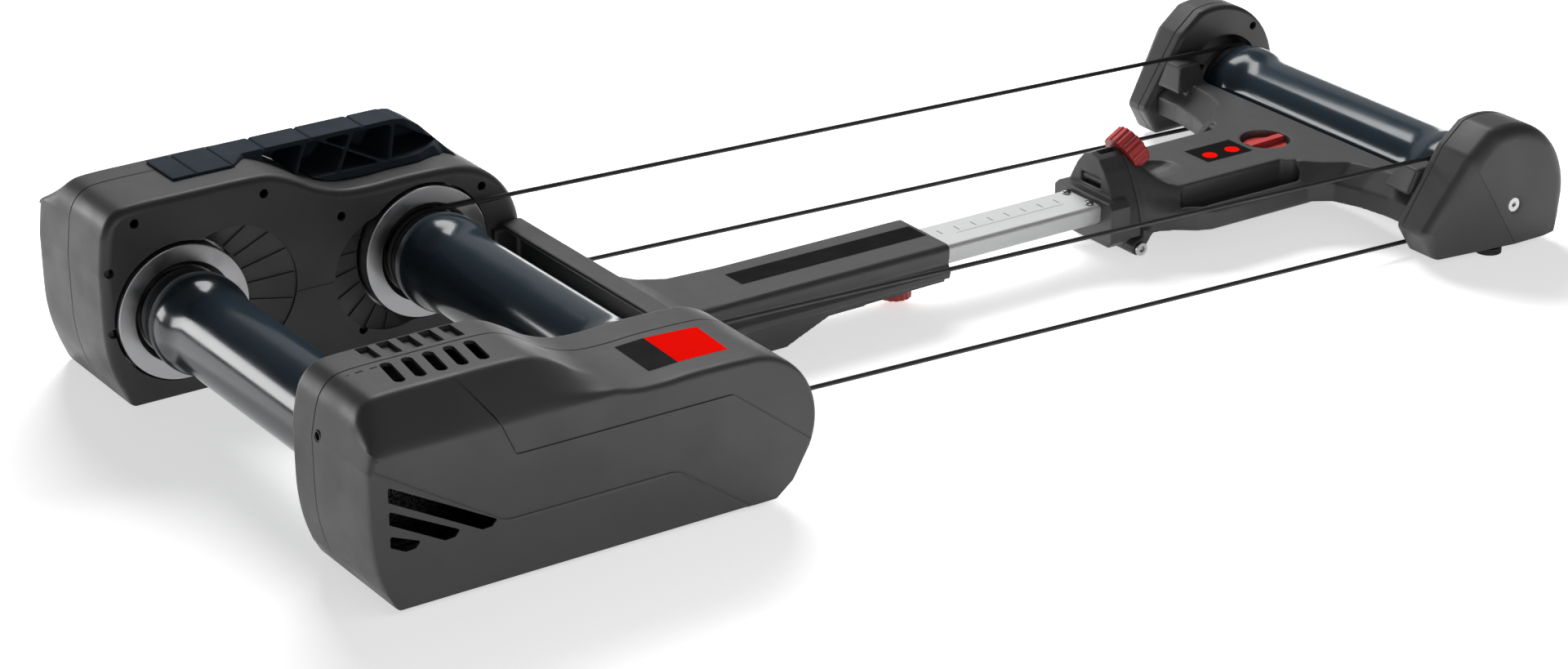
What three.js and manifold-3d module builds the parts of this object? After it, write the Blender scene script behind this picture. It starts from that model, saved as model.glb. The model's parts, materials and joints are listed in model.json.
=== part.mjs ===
// Interactive bike rollers: two driven rollers at the rear, one at the front, on a telescopic folding frame.
// Millimetres. x runs from the rear rollers to the front one, y to the step side, z up from the floor.
import * as THREE from "three";
import Module from "manifold-3d";
import { mergeVertices } from "three/addons/utils/BufferGeometryUtils.js";

const wasm = await Module();
wasm.setup();

// Driving sizes
const gap = 0.3; // between pieces that touch
const overrun = 2; // how far a cutter runs past what it cuts
const wheelbase = 1000; // front roller ahead of the middle of the two rear ones
const rear_spacing = 228; // between the two rear axles
const drum_half_length = 158;
const rear_axle_x = 46;
const rear_axle_z = 76;
const front_axle_z = 46;
const foot_height = 6;
const bar_behind_middle_axle = -71; // the crossbar's rear edge
const beam_length = 304; // ahead of the crossbar
const yoke_length = 278.5; // from the fold's split face to the front axle

const half = 0.5; // share of a full size
const middle_axle_x = rear_axle_x + rear_spacing;
const front_axle_x = rear_axle_x + rear_spacing * half + wheelbase;
const split_x = front_axle_x - yoke_length;

const round_sides = 32;
const small_sides = 16;
const fine_sides = 24;
const coarse_sides = 12;
const corner_steps = 3;
const full_turn = 2 * Math.PI;
const merge_distance = 1e-4;

const paint = {
  charcoal: { color: 0x55565a, roughness: 0.62, metalness: 0 },
  black: { color: 0x17181a, roughness: 0.7, metalness: 0 },
  navy: { color: 0x2c353f, roughness: 0.55, metalness: 0 },
  drum: { color: 0x333f4b, roughness: 0.22, metalness: 0.1 },
  aluminium: { color: 0xa9aaac, roughness: 0.35, metalness: 0.9 },
  rail: { color: 0xd6d8da, roughness: 0.35, metalness: 0.8 },
  steel: { color: 0xb8babc, roughness: 0.3, metalness: 0.9 },
  red: { color: 0xb03434, roughness: 0.5, metalness: 0 },
  belt: { color: 0x141415, roughness: 0.7, metalness: 0 },
  rubber: { color: 0x1d1d1e, roughness: 0.9, metalness: 0 },
  grey: { color: 0x6f7275, roughness: 0.5, metalness: 0 },
  board: { color: 0x1e5a3a, roughness: 0.6, metalness: 0 },
};

// Solids

// A closed geometry as a solid whose faces point out
function solid(geometry) {
  const bare = new THREE.BufferGeometry();
  bare.setAttribute("position", geometry.getAttribute("position"));
  if (geometry.index) bare.setIndex(geometry.index);
  const merged = mergeVertices(bare, merge_distance);
  const place = merged.attributes.position;
  const all = merged.index.array;
  const faces = [];
  const corner = [new THREE.Vector3(), new THREE.Vector3(), new THREE.Vector3()];
  let volume = 0;
  for (let i = 0; i < all.length; i += 3) {
    const [a, b, c] = [all[i], all[i + 1], all[i + 2]];
    if (a === b || b === c || c === a) continue;
    faces.push(a, b, c);
    corner.forEach((v, k) => v.fromBufferAttribute(place, [a, b, c][k]));
    volume += corner[0].dot(corner[1].clone().cross(corner[2]));
  }
  if (volume < 0) faces.reverse();
  const made = { numProp: 3, vertProperties: place.array, triVerts: new Uint32Array(faces) };
  return new wasm.Manifold(new wasm.Mesh(made));
}

function join(first, ...others) {
  return others.reduce((whole, other) => whole.add(other), first);
}

function cut(first, ...others) {
  return others.reduce((whole, other) => whole.subtract(other), first);
}

function geometry_of(body) {
  const made = body.getMesh();
  const geometry = new THREE.BufferGeometry();
  geometry.setAttribute("position", new THREE.BufferAttribute(made.vertProperties, 3));
  geometry.setIndex(new THREE.BufferAttribute(made.triVerts, 1));
  const flat = geometry.toNonIndexed();
  flat.computeVertexNormals();
  return flat;
}

// A body carried to another place by a matrix
function moved(body, matrix) {
  return solid(geometry_of(body).applyMatrix4(matrix));
}

function shifted(body, x, y, z) {
  return moved(body, new THREE.Matrix4().makeTranslation(x, y, z));
}

// A body built along +y, turned so that it runs along x or z instead
function laid_along_x(body) {
  return moved(body, new THREE.Matrix4().makeRotationZ(-Math.PI * half));
}

function laid_along_z(body) {
  return moved(body, new THREE.Matrix4().makeRotationX(Math.PI * half));
}

function mesh(name, body, look) {
  const made = new THREE.Mesh(geometry_of(body), new THREE.MeshStandardMaterial(look));
  made.name = name;
  return made;
}

function box(x0, x1, y0, y1, z0, z1) {
  const geometry = new THREE.BoxGeometry(x1 - x0, y1 - y0, z1 - z0);
  geometry.translate((x0 + x1) * half, (y0 + y1) * half, (z0 + z1) * half);
  return solid(geometry);
}

// A flat outline pushed out along x, y or z; its own two axes are the other two in order
const side_frames = {
  x: [new THREE.Vector3(0, 1, 0), new THREE.Vector3(0, 0, 1), new THREE.Vector3(1, 0, 0)],
  y: [new THREE.Vector3(1, 0, 0), new THREE.Vector3(0, 0, 1), new THREE.Vector3(0, 1, 0)],
  z: [new THREE.Vector3(1, 0, 0), new THREE.Vector3(0, 1, 0), new THREE.Vector3(0, 0, 1)],
};

function plate(along, shape, from, to, curve_segments = 6) {
  const depth = to - from;
  const settings = { depth, bevelEnabled: false, curveSegments: curve_segments };
  const geometry = new THREE.ExtrudeGeometry(shape, settings);
  geometry.translate(0, 0, from);
  geometry.applyMatrix4(new THREE.Matrix4().makeBasis(...side_frames[along]));
  return solid(geometry);
}

function shape_of(points) {
  return new THREE.Shape(points.map(([u, v]) => new THREE.Vector2(u, v)));
}

// A closed profile of [radius, place] turned round the y axis
function turned(profile, sides = round_sides) {
  const points = profile.map(([r, y]) => new THREE.Vector2(r, y));
  return solid(new THREE.LatheGeometry(points, sides));
}

function rod_profile(r, from, to) {
  return [[0, from], [r, from], [r, to], [0, to]];
}

function ring_profile(inner, outer, from, to) {
  return [[inner, from], [outer, from], [outer, to], [inner, to], [inner, from]];
}

function rod(r, from, to, sides = small_sides) {
  return turned(rod_profile(r, from, to), sides);
}

function tube(inner, outer, from, to, sides = small_sides) {
  return turned(ring_profile(inner, outer, from, to), sides);
}

// A rod along z at a place in plan
function post(x, y, r, z0, z1, sides = small_sides) {
  return shifted(laid_along_z(rod(r, z0, z1, sides)), x, y, 0);
}

// Rings of equal count stacked along an axis; each is {at, points: [[u, v], ...]}
function loft(along, rings) {
  const count = rings[0].points.length;
  const vertices = [];
  rings.forEach((ring) => ring.points.forEach(([u, v]) => vertices.push(u, v, ring.at)));
  const faces = [];
  const flat = (ring) => ring.points.map(([u, v]) => new THREE.Vector2(u, v));
  const last = (rings.length - 1) * count;
  THREE.ShapeUtils.triangulateShape(flat(rings[0]), []).forEach(([a, b, c]) => faces.push(a, c, b));
  THREE.ShapeUtils.triangulateShape(flat(rings.at(-1)), []).forEach(([a, b, c]) => {
    faces.push(last + a, last + b, last + c);
  });
  for (let row = 0; row < last; row += count) {
    for (let i = 0; i < count; i++) {
      const next = (i + 1) % count;
      faces.push(row + i, row + next, row + count + next);
      faces.push(row + i, row + count + next, row + count + i);
    }
  }
  const geometry = new THREE.BufferGeometry();
  geometry.setAttribute("position", new THREE.Float32BufferAttribute(vertices, 3));
  geometry.setIndex(faces);
  geometry.applyMatrix4(new THREE.Matrix4().makeBasis(...side_frames[along]));
  return solid(geometry);
}

// An outline moved inwards by a distance, corner by corner; the outline runs anticlockwise
function inset(points, distance) {
  const count = points.length;
  return points.map(([u, v], i) => {
    const [u0, v0] = points[(i + count - 1) % count];
    const [u1, v1] = points[(i + 1) % count];
    const before = new THREE.Vector2(u - u0, v - v0).normalize();
    const after = new THREE.Vector2(u1 - u, v1 - v).normalize();
    const inward = new THREE.Vector2(-before.y - after.y, before.x + after.x).normalize();
    const stretch = distance / (inward.x * -before.y + inward.y * before.x);
    return [u + inward.x * stretch, v + inward.y * stretch];
  });
}

// Shares of a span [start, start + size] across and [base, base + rise] up, as points
function spread(shares, start, size, base, rise) {
  return shares.map(([s, t]) => [start + s * size, base + t * rise]);
}

function arc_points(u, v, r, from_degrees, to_degrees, steps) {
  return Array.from({ length: steps + 1 }, (_, i) => {
    const angle = THREE.MathUtils.degToRad(from_degrees + ((to_degrees - from_degrees) * i) / steps);
    return [u + r * Math.cos(angle), v + r * Math.sin(angle)];
  });
}

// Places given by name as offsets from one origin
function placed(origin, offsets) {
  return Object.fromEntries(Object.entries(offsets).map(([name, offset]) => [name, origin + offset]));
}

const ease = (t) => t * t * (3 - 2 * t);
const blend = (a, b, t) => a + (b - a) * t;
const share_of = (x, from, to) => THREE.MathUtils.clamp((x - from) / (to - from), 0, 1);

// Rear housings: one moulded box at each end of the rear rollers, split along its length
const rear_margin = 69; // of a housing behind the rear axle
const front_margin = 95; // of a housing ahead of the middle axle
const housing = {
  rear_x: rear_axle_x - rear_margin,
  length: rear_margin + rear_spacing + front_margin,
  width: 126,
  wall: 3,
  edge_round: 8,
  edge_ease: 2.4, // depth of the first chamfer of the rounded edge
  chin_depth: 15,
  chin_height: 49,
  crease_height: 114,
  toe_depth: 39,
  toe_height: 11,
  shoulder_width: 24, // across the sloping facet along the outer top edge
  shoulder_ease: 10,
  belt_line_rise: 5, // above the dip; below this line the outer side is upright
};
// Rear edge between floor and crease, over the chin's size; crown line over the length and the dip
const chin_shares = [[0.07, 1], [0.47, 0.49], [1, 0]];
const crown_line_shares = [
  [0.8, 0.02], [0.72, 0.03], [0.64, 0], [0.57, 0.06], [0.51, 0.3], [0.467, 0.6],
  [0.415, 0.9], [0.36, 1], [0.2, 1], [0.085, 0.97], [0.042, 0.75], [0.018, 0.2],
];
const far_clearance = 17; // from the drum's end to the far housing
const near_overlap = 7; // the drum's end reaches this far into the near housing
const far_housing_above_rear_axle = { crown: 100.5, saddle: 69 };
const near_housing_above_rear_axle = { crown: 89, saddle: 54 };
const housing_sides = {
  far: {
    way: 1,
    inner: drum_half_length + far_clearance,
    seam: 65,
    nose_r: 70,
    ...placed(rear_axle_z, far_housing_above_rear_axle),
  },
  near: {
    way: -1,
    inner: near_overlap - drum_half_length,
    seam: 37,
    nose_r: 62,
    ...placed(rear_axle_z, near_housing_above_rear_axle),
  },
};
const toe_step_share = 0.56; // of the toe's depth, where its lower corner turns up
const nose_start_degrees = -25;
const nose_steps = 7;

function housing_outline(side) {
  const { rear_x, length, chin_depth, chin_height, crease_height, toe_depth, toe_height } = housing;
  const nose_x = rear_x + length;
  const floor = foot_height;
  const toe = [[nose_x - toe_depth, floor], [nose_x - toe_depth * toe_step_share, floor + toe_height]];
  const r = side.nose_r;
  const nose = arc_points(nose_x - r, side.saddle - r, r, nose_start_degrees, 90, nose_steps);
  const crown = spread(crown_line_shares, rear_x, length, side.saddle, side.crown - side.saddle);
  const rear = [[rear_x, floor + crease_height]];
  const chin = spread(chin_shares, rear_x, chin_depth, floor, chin_height);
  return [...toe, ...nose, ...crown, ...rear, ...chin];
}

// The outline with all above the belt line pressed down towards it
function pressed(side, share) {
  const base = side.saddle + housing.belt_line_rise;
  return housing_outline(side).map(([x, z]) => [x, z > base ? base + (z - base) * share : z]);
}

// Rings from a side's inner face to its outer one, each [depth, inset, height share above the belt line]
const shoulder_shares = [1, 0.97, 0.15, 0.04, 0];
function housing_rings(wall) {
  const { width, edge_round, edge_ease, shoulder_width, shoulder_ease } = housing;
  const [level, brow, lean, turn, face] = shoulder_shares;
  const inner = [
    [0, edge_round, level],
    [edge_ease, edge_ease, level],
    [edge_round, 0, level],
  ];
  const outer = [
    [width - shoulder_width - shoulder_ease, 0, level],
    [width - shoulder_width, 0, brow],
    [width - edge_round * half, 0, lean],
    [width - edge_ease * half, edge_ease * half, turn],
    [width, edge_round * half, face],
  ];
  const inner_cavity = [[wall, edge_round, level], [edge_round + wall, wall, level]];
  const outer_cavity = outer.map(([depth, in_by, share]) => [depth - wall, in_by + wall, share]);
  return { inner, outer, inner_cavity, outer_cavity };
}

function housing_loft(side, rings) {
  return loft(
    "y",
    rings.map(([depth, in_by, share]) => ({
      at: side.inner + side.way * depth,
      points: inset(pressed(side, share), in_by),
    })),
  );
}

function housing_shell(side, part) {
  const rings = housing_rings(housing.wall);
  const wall = housing.wall;
  if (part === "inner") {
    const outside = housing_loft(side, [...rings.inner, [side.seam - gap, 0, 1]]);
    return cut(outside, housing_loft(side, [...rings.inner_cavity, [side.seam + overrun, wall, 1]]));
  }
  const outside = housing_loft(side, [[side.seam, 0, 1], ...rings.outer]);
  const hollow = [[side.seam - overrun, wall, 1], ...rings.outer_cavity];
  return cut(outside, housing_loft(side, hollow));
}

// A straight bore or boss along y at a place on a housing's side
function along_y(x, z, r, from, to, sides = coarse_sides) {
  return shifted(rod(r, Math.min(from, to), Math.max(from, to), sides), x, 0, z);
}

// Rollers: a drum with swollen ends on two end plugs, a flywheel or brake disc beside it
const drum = {
  half_length: drum_half_length,
  waist_r: 37.7,
  bulb_rise: 5.3,
  bulb_length: 53,
  bore_r: 34.5,
};
const drum_sides = 24;
const drum_clearance = 2.5; // round the swollen ends, in the housings and caps
const drum_opening_r = drum.waist_r + drum.bulb_rise + drum_clearance;
const disc_clearance = 2; // round the flywheels, in the far housing
// Along the swollen end, as shares of its length and of its rise
const bulb_shares = [[0, 0], [0.3, 0.17], [0.53, 0.62], [0.8, 1], [1, 0.15]];
const belt_past_drum = { y: 10.5 };
const belt = { r: 2, sides: 6, wrap_steps: 14, ...placed(drum_half_length, belt_past_drum) };
const pulley_r = 36; // to the belt's inner side
const plug = {
  depth: 26,
  flange_r: 38.6,
  flange_width: 14.2,
  groove_width: 7,
  groove_floor: 3,
  boss_r: 22,
  boss_height: 3.5,
  axle_bore_r: 7,
};
const bearing = { r: 14, width: 8, bore_r: 6.5 };
const axle_r = 6;
const flywheel_past_drum = { face_y: 13 };
const flywheel = {
  r: 59,
  thickness: 17,
  dish_r: 44,
  dish_slope: 4,
  bore_r: 12,
  lip: 1.2,
  ...placed(drum_half_length, flywheel_past_drum),
};
const brake_disc = { r: 55, thickness: 6 };
const plug_seat_y = drum.half_length + gap;
const plug_end_y = plug_seat_y + plug.flange_width;
const boss_end_y = plug_end_y + plug.boss_height;
const disc_floor_y = boss_end_y + gap;

function drum_body() {
  const { half_length, waist_r, bulb_rise, bulb_length, bore_r } = drum;
  const far_end = spread(bulb_shares, 0, bulb_length, 0, bulb_rise).map(([s, t]) => [
    waist_r + t,
    half_length - bulb_length + s,
  ]);
  const near_end = far_end.map(([r, y]) => [r, -y]).reverse();
  const outside = [...near_end, ...far_end];
  const [first] = outside;
  return turned([...outside, [bore_r, half_length], [bore_r, -half_length], first], drum_sides);
}

function plug_body() {
  const skirt_r = drum.bore_r - gap;
  const groove_r = pulley_r - gap;
  const groove_low = belt.y - plug.groove_width * half;
  const groove_high = belt.y + plug.groove_width * half;
  const pocket_r = bearing.r + gap;
  const pocket_y = plug_end_y - bearing.width - gap;
  return turned([
    [plug.axle_bore_r, drum.half_length - plug.depth],
    [skirt_r, drum.half_length - plug.depth],
    [skirt_r, plug_seat_y],
    [plug.flange_r, plug_seat_y],
    [plug.flange_r, groove_low],
    [groove_r, belt.y - plug.groove_floor * half],
    [groove_r, belt.y + plug.groove_floor * half],
    [plug.flange_r, groove_high],
    [plug.flange_r, plug_end_y],
    [plug.boss_r, plug_end_y],
    [plug.boss_r, boss_end_y],
    [pocket_r, boss_end_y],
    [pocket_r, pocket_y],
    [plug.axle_bore_r, pocket_y],
    [plug.axle_bore_r, drum.half_length - plug.depth],
  ], small_sides);
}

function bearing_body() {
  const from = plug_end_y - bearing.width;
  return tube(bearing.bore_r, bearing.r, from, from + bearing.width, coarse_sides);
}

function flywheel_body() {
  const { r, face_y, thickness, dish_r, dish_slope, bore_r, lip } = flywheel;
  const back = face_y + thickness;
  return turned([
    [bore_r, disc_floor_y],
    [dish_r - dish_slope, disc_floor_y],
    [dish_r, face_y],
    [r - lip, face_y],
    [r, face_y + lip],
    [r, back],
    [bore_r, back],
    [bore_r, disc_floor_y],
  ]);
}

function brake_disc_body() {
  const { r, thickness } = brake_disc;
  return tube(flywheel.bore_r, r, disc_floor_y, disc_floor_y + thickness, round_sides);
}

// Frame: end plates in the housings, a channel across, and the hollow beam to the front
const frame_past_drum = { plate_y: 40 };
const frame = {
  plate_thickness: 4,
  plate_inset: 14,
  bar_depth: 23,
  bar_wall: 5,
  bar_bottom: 42,
  bar_top: 86,
  tongue_depth: 14,
  tongue_bottom: 46,
  tongue_height: 34,
  tongue_set_back: 6,
  beam_half: 41,
  beam_top: 59.5,
  beam_bottom: 28,
  beam_roof: 3.5,
  beam_inner_half: 30,
  beam_corner: 6,
  flute: 4,
  root_half: 84,
  root_top: 80,
  ...placed(drum_half_length, frame_past_drum),
};
const bar_rear_x = middle_axle_x - bar_behind_middle_axle;
const bar_front_x = bar_rear_x + frame.bar_depth;
const tongue_x = bar_rear_x - frame.tongue_set_back;
const beam_end_x = bar_front_x + beam_length;
const axle_proud = 6; // of an axle's end beyond its plate
const axle_half = frame.plate_y + frame.plate_thickness + axle_proud;

function end_plate(side) {
  const outline = inset(housing_outline(side), frame.plate_inset);
  const from = side.way * frame.plate_y;
  const to = side.way * (frame.plate_y + frame.plate_thickness);
  const body = plate("y", shape_of(outline), Math.min(from, to), Math.max(from, to));
  const bores = [rear_axle_x, middle_axle_x].map((x) =>
    along_y(x, rear_axle_z, axle_r + gap, from - side.way * overrun, to + side.way * overrun));
  return cut(body, ...bores);
}

// Side of the beam's section: [inwards in flutes or corners, up as a share of its height]
const beam_side_shares = [[0.5, 0], [0, 0.22], [1, 0.45], [0.5, 0.7]];
const beam_edge_shares = [[0.3, 0.5], [1, 0]]; // of the corner, in from the side and down from the top
// Rings of the beam along x: half width and top height blend from the crossbar to the straight run
const beam_blend_shares = [[0, 1], [0.06, 0.72], [0.17, 0.42], [0.32, 0.2], [0.55, 0.05], [1, 0]];
const beam_blend_length = 110;
function beam_outline(half_width, top) {
  const { beam_corner, beam_bottom, flute } = frame;
  const rise = top - beam_bottom;
  const right = [
    ...beam_side_shares.map(([s, t]) => [half_width - s * flute, beam_bottom + t * rise]),
    ...beam_edge_shares.map(([s, t]) => [half_width - s * beam_corner, top - t * beam_corner]),
  ];
  return [...right, ...right.map(([y, z]) => [-y, z]).reverse()];
}

function main_frame_body() {
  const f = frame;
  const far = housing_sides.far.inner - gap;
  const near = housing_sides.near.inner + gap;
  const bar = box(bar_rear_x, bar_front_x, near, far, f.bar_bottom, f.bar_top);
  const channel = box(
    bar_rear_x - overrun, bar_front_x - f.bar_wall, near + f.bar_wall, far - f.bar_wall,
    f.bar_bottom + f.bar_wall, f.bar_top - f.bar_wall,
  );
  const tongue_end = f.plate_y - gap;
  const tongues = [[-tongue_end, near + f.bar_wall], [far - f.bar_wall, tongue_end]].map(([from, to]) =>
    box(tongue_x, tongue_x + f.tongue_depth, from, to, f.tongue_bottom, f.tongue_bottom + f.tongue_height));
  const rings = beam_blend_shares.map(([s, t]) => ({
    at: bar_front_x - gap + s * beam_blend_length,
    points: beam_outline(blend(f.beam_half, f.root_half, t), blend(f.beam_top, f.root_top, t)),
  }));
  rings.push({ at: beam_end_x, points: beam_outline(f.beam_half, f.beam_top) });
  const beam = loft("x", rings);
  const bore = box(
    bar_front_x + f.bar_wall, beam_end_x + overrun, -f.beam_inner_half, f.beam_inner_half,
    f.beam_bottom - overrun, f.beam_top - f.beam_roof,
  );
  return cut(join(cut(bar, channel), ...tongues, beam), bore);
}

// Cover under the beam, with the keel that carries the middle of the beam when it is stepped on
const cover_ahead_of_bar = { rear_x: 35, keel_rear_x: 113, keel_front_x: 200 };
const cover_from_beam_end = { front_x: -4 };
const cover = {
  half_width: 36,
  wall: 3,
  rear_depth: 5,
  keel_z: 4,
  front_depth: 2.5,
  keel_shoulder: 6,
  ...placed(bar_rear_x, cover_ahead_of_bar),
  ...placed(beam_end_x, cover_from_beam_end),
};
const keel_shares = [0.3, 0.5]; // the keel's flat foot, over its length
function beam_cover_body() {
  const c = cover;
  const top = frame.beam_bottom - gap;
  const under = top - c.rear_depth;
  const [foot_rear_x, foot_front_x] = keel_shares.map((share) => blend(c.keel_rear_x, c.keel_front_x, share));
  const body = plate("y", shape_of([
    [c.rear_x, under], [c.keel_rear_x, under], [foot_rear_x, c.keel_z], [foot_front_x, c.keel_z],
    [c.keel_front_x, top - c.keel_shoulder], [c.front_x, top - c.front_depth],
    [c.front_x, top], [c.rear_x, top],
  ]), -c.half_width, c.half_width);
  const open = frame.beam_bottom + overrun;
  const pocket = plate("y", shape_of([
    [c.keel_rear_x + c.wall, open], [c.keel_rear_x + c.wall, under + c.wall],
    [foot_rear_x + c.wall, c.keel_z + c.wall],
    [foot_front_x - c.wall, c.keel_z + c.wall], [c.keel_front_x - c.wall, top - c.keel_shoulder + c.wall],
    [c.keel_front_x + c.keel_shoulder, open],
  ]), -c.half_width + c.wall, c.half_width - c.wall);
  return cut(body, pocket, post(clamp.x, 0, clamp.screw_r + gap, -overrun, open));
}

// Telescopic rail in its guide
const rail_from_beam_end = { rear_x: -170 };
const rail_from_split = { front_x: -15.5 };
const rail = {
  half_width: 25,
  bottom: 34,
  height: 18,
  wall: 2.2,
  round: 4,
  ...placed(beam_end_x, rail_from_beam_end),
  ...placed(split_x, rail_from_split),
};
const guide_from_beam_end = { rear_x: -112, front_x: -3 };
const guide = placed(beam_end_x, guide_from_beam_end);
const clamp_from_beam_end = { x: -32 };
const clamp = {
  screw_r: 4,
  knob_r: 15,
  knob_bottom: 6.5,
  knob_height: 13,
  ribs: 16,
  ...placed(beam_end_x, clamp_from_beam_end),
};
// Over one rib of a grip: [place round, share of the grip's radius]
const grip_rib_shares = [[0, 1], [0.45, 1], [0.6, 0.94], [0.85, 0.94]];

function rounded(half_width, bottom, height, round) {
  const shape = new THREE.Shape();
  const top = bottom + height;
  shape.moveTo(-half_width + round, bottom);
  shape.lineTo(half_width - round, bottom);
  shape.absarc(half_width - round, bottom + round, round, -Math.PI / 2, 0);
  shape.lineTo(half_width, top - round);
  shape.absarc(half_width - round, top - round, round, 0, Math.PI / 2);
  shape.lineTo(-half_width + round, top);
  shape.absarc(-half_width + round, top - round, round, Math.PI / 2, Math.PI);
  shape.lineTo(-half_width, bottom + round);
  shape.absarc(-half_width + round, bottom + round, round, Math.PI, Math.PI * 1.5);
  return shape;
}

function rail_body() {
  const r = rail;
  const section = rounded(r.half_width, r.bottom, r.height, r.round);
  const outer = plate("x", section, r.rear_x, r.front_x, corner_steps);
  const bore = rounded(r.half_width - r.wall, r.bottom + r.wall, r.height - 2 * r.wall, r.round - r.wall);
  return cut(outer, plate("x", bore, r.rear_x - overrun, r.front_x + overrun, corner_steps));
}

function rail_guide_body() {
  const g = guide;
  const outer = box(
    g.rear_x, g.front_x, -frame.beam_inner_half + gap, frame.beam_inner_half - gap,
    frame.beam_bottom + gap, frame.beam_top - frame.beam_roof - gap,
  );
  const bore = rounded(rail.half_width + gap, rail.bottom - gap, rail.height + 2 * gap, rail.round);
  const screw_hole = post(clamp.x, 0, clamp.screw_r + gap, 0, rail.bottom);
  return cut(outer, plate("x", bore, g.rear_x - overrun, g.front_x + overrun, corner_steps), screw_hole);
}

// A round grip with upright ribs, its axis along y
function ribbed_grip(r, from, to, ribs) {
  const outline = [];
  for (let i = 0; i < ribs; i++) {
    for (const [turn_share, radius_share] of grip_rib_shares) {
      const angle = ((i + turn_share) / ribs) * full_turn;
      outline.push([r * radius_share * Math.cos(angle), r * radius_share * Math.sin(angle)]);
    }
  }
  return plate("y", shape_of(outline), from, to);
}

const screw_seat = 6; // how far a screw sits in its knob
function clamp_knob_body() {
  const c = clamp;
  const top = c.knob_bottom + c.knob_height;
  const grip = shifted(laid_along_z(ribbed_grip(c.knob_r, c.knob_bottom, top, c.ribs)), c.x, 0, 0);
  return cut(grip, post(c.x, 0, c.screw_r + gap, top - screw_seat - gap, top + overrun));
}

function clamp_screw_body() {
  const top = clamp.knob_bottom + clamp.knob_height;
  return post(clamp.x, 0, clamp.screw_r, top - screw_seat, rail.bottom - gap);
}

// Pivot block at the rail's front end and the hinge under it
const block_from_split = { rear_x: -34.5, dome_x: -26.5, foot_front_x: -13.5 };
const block = {
  half_width: 42,
  corner: 5,
  bottom: 15,
  shoulder: 57,
  dome_bottom: 21,
  dome_top: 93,
  window_half: 14,
  window_bottom: 62,
  window_height: 10,
  slot_half: 5,
  ...placed(split_x, block_from_split),
};
const hinge_from_split = { x: -4.5 };
const hinge = {
  z: 10.7,
  barrel_r: 7.5,
  pin_r: 3.5,
  half_length: 47,
  middle_half: 21,
  ...placed(split_x, hinge_from_split),
};
// Half width of the dome against its height
const dome_shares = [
  [1, 0], [0.98, 0.1], [0.93, 0.22], [0.88, 0.33], [0.8, 0.45], [0.65, 0.63], [0.48, 0.8], [0.27, 0.94],
  [0, 1],
];

function dome_outline() {
  const b = block;
  const right = spread(dome_shares, 0, b.half_width, b.dome_bottom, b.dome_top - b.dome_bottom);
  const left = right.slice(0, -1).map(([y, z]) => [-y, z]).reverse();
  return [...right, ...left];
}

// The lock's axis leans up and forward through the knob's centre
const lock_from_split = { x: 14.5 };
const lock = {
  z: 87,
  degrees: 30,
  knob_r: 20,
  knob_length: 18,
  ribs: 18,
  screw_r: 4,
  tail: 34,
  nut_r: 5,
  ...placed(split_x, lock_from_split),
};
const lock_lean = THREE.MathUtils.degToRad(lock.degrees);
const lock_way = [Math.cos(lock_lean), Math.sin(lock_lean)];

// A body built along +y, turned to the lock's axis with its zero at the knob's centre
function on_lock_axis(body) {
  const leaned = moved(laid_along_x(body), new THREE.Matrix4().makeRotationY(-lock_lean));
  return shifted(leaned, lock.x, 0, lock.z);
}

const nut_reach = lock.tail + gap + lock.nut_r;
const nut_x = lock.x - nut_reach * lock_way[0];
const nut_z = lock.z - nut_reach * lock_way[1];

function pivot_block_body() {
  const b = block;
  const corner = b.corner;
  const shoulder = plate("x", shape_of([
    [b.half_width - corner, b.bottom], [b.half_width, b.bottom + corner],
    [b.half_width, b.shoulder - corner], [b.half_width - corner, b.shoulder],
    [-b.half_width + corner, b.shoulder], [-b.half_width, b.shoulder - corner],
    [-b.half_width, b.bottom + corner], [-b.half_width + corner, b.bottom],
  ]), b.rear_x, b.foot_front_x);
  const dome = plate("x", shape_of(dome_outline()), b.dome_x, split_x);
  const h = hinge;
  const barrel = along_y(h.x, h.z, h.barrel_r, -h.middle_half, h.middle_half, small_sides);
  const web = plate("y", shape_of([
    [b.dome_x, b.bottom + overrun], [h.x - h.barrel_r, h.z], [h.x, h.z - h.barrel_r * half],
    [h.x + h.barrel_r * half, h.z + overrun], [split_x, b.dome_bottom + overrun],
    [b.dome_x, b.dome_bottom + overrun],
  ]), -h.middle_half, h.middle_half);
  const r = rail;
  const rail_section = rounded(r.half_width + gap, r.bottom - gap, r.height + 2 * gap, r.round);
  const rail_seat = plate("x", rail_section, b.rear_x - overrun, r.front_x + gap, corner_steps);
  const slot_top = b.dome_top + overrun;
  const slot = box(nut_x, split_x + overrun, -b.slot_half, b.slot_half, b.window_bottom, slot_top);
  const window_top = b.window_bottom + b.window_height;
  const opening = box(b.dome_x - overrun, nut_x, -b.window_half, b.window_half, b.window_bottom, window_top);
  const nut_bore = along_y(nut_x, nut_z, lock.nut_r + gap, -b.window_half, b.window_half, small_sides);
  const pin_bore = along_y(h.x, h.z, h.pin_r + gap, -h.middle_half - overrun, h.middle_half + overrun);
  return cut(join(shoulder, dome, barrel, web), rail_seat, slot, opening, nut_bore, pin_bore);
}

function hinge_pin_body() {
  return along_y(hinge.x, hinge.z, hinge.pin_r, -hinge.half_length, hinge.half_length);
}

function lock_nut_body() {
  return along_y(nut_x, nut_z, lock.nut_r, -block.window_half + gap, block.window_half - gap, small_sides);
}

function lock_knob_body() {
  const end = lock.knob_length * half;
  const grip = ribbed_grip(lock.knob_r, -end, end, lock.ribs);
  return on_lock_axis(cut(grip, rod(lock.screw_r + gap, -end - overrun, -end + screw_seat + gap)));
}

function lock_screw_body() {
  const end = lock.knob_length * half;
  return on_lock_axis(rod(lock.screw_r, -lock.tail, -end + screw_seat));
}

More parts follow.
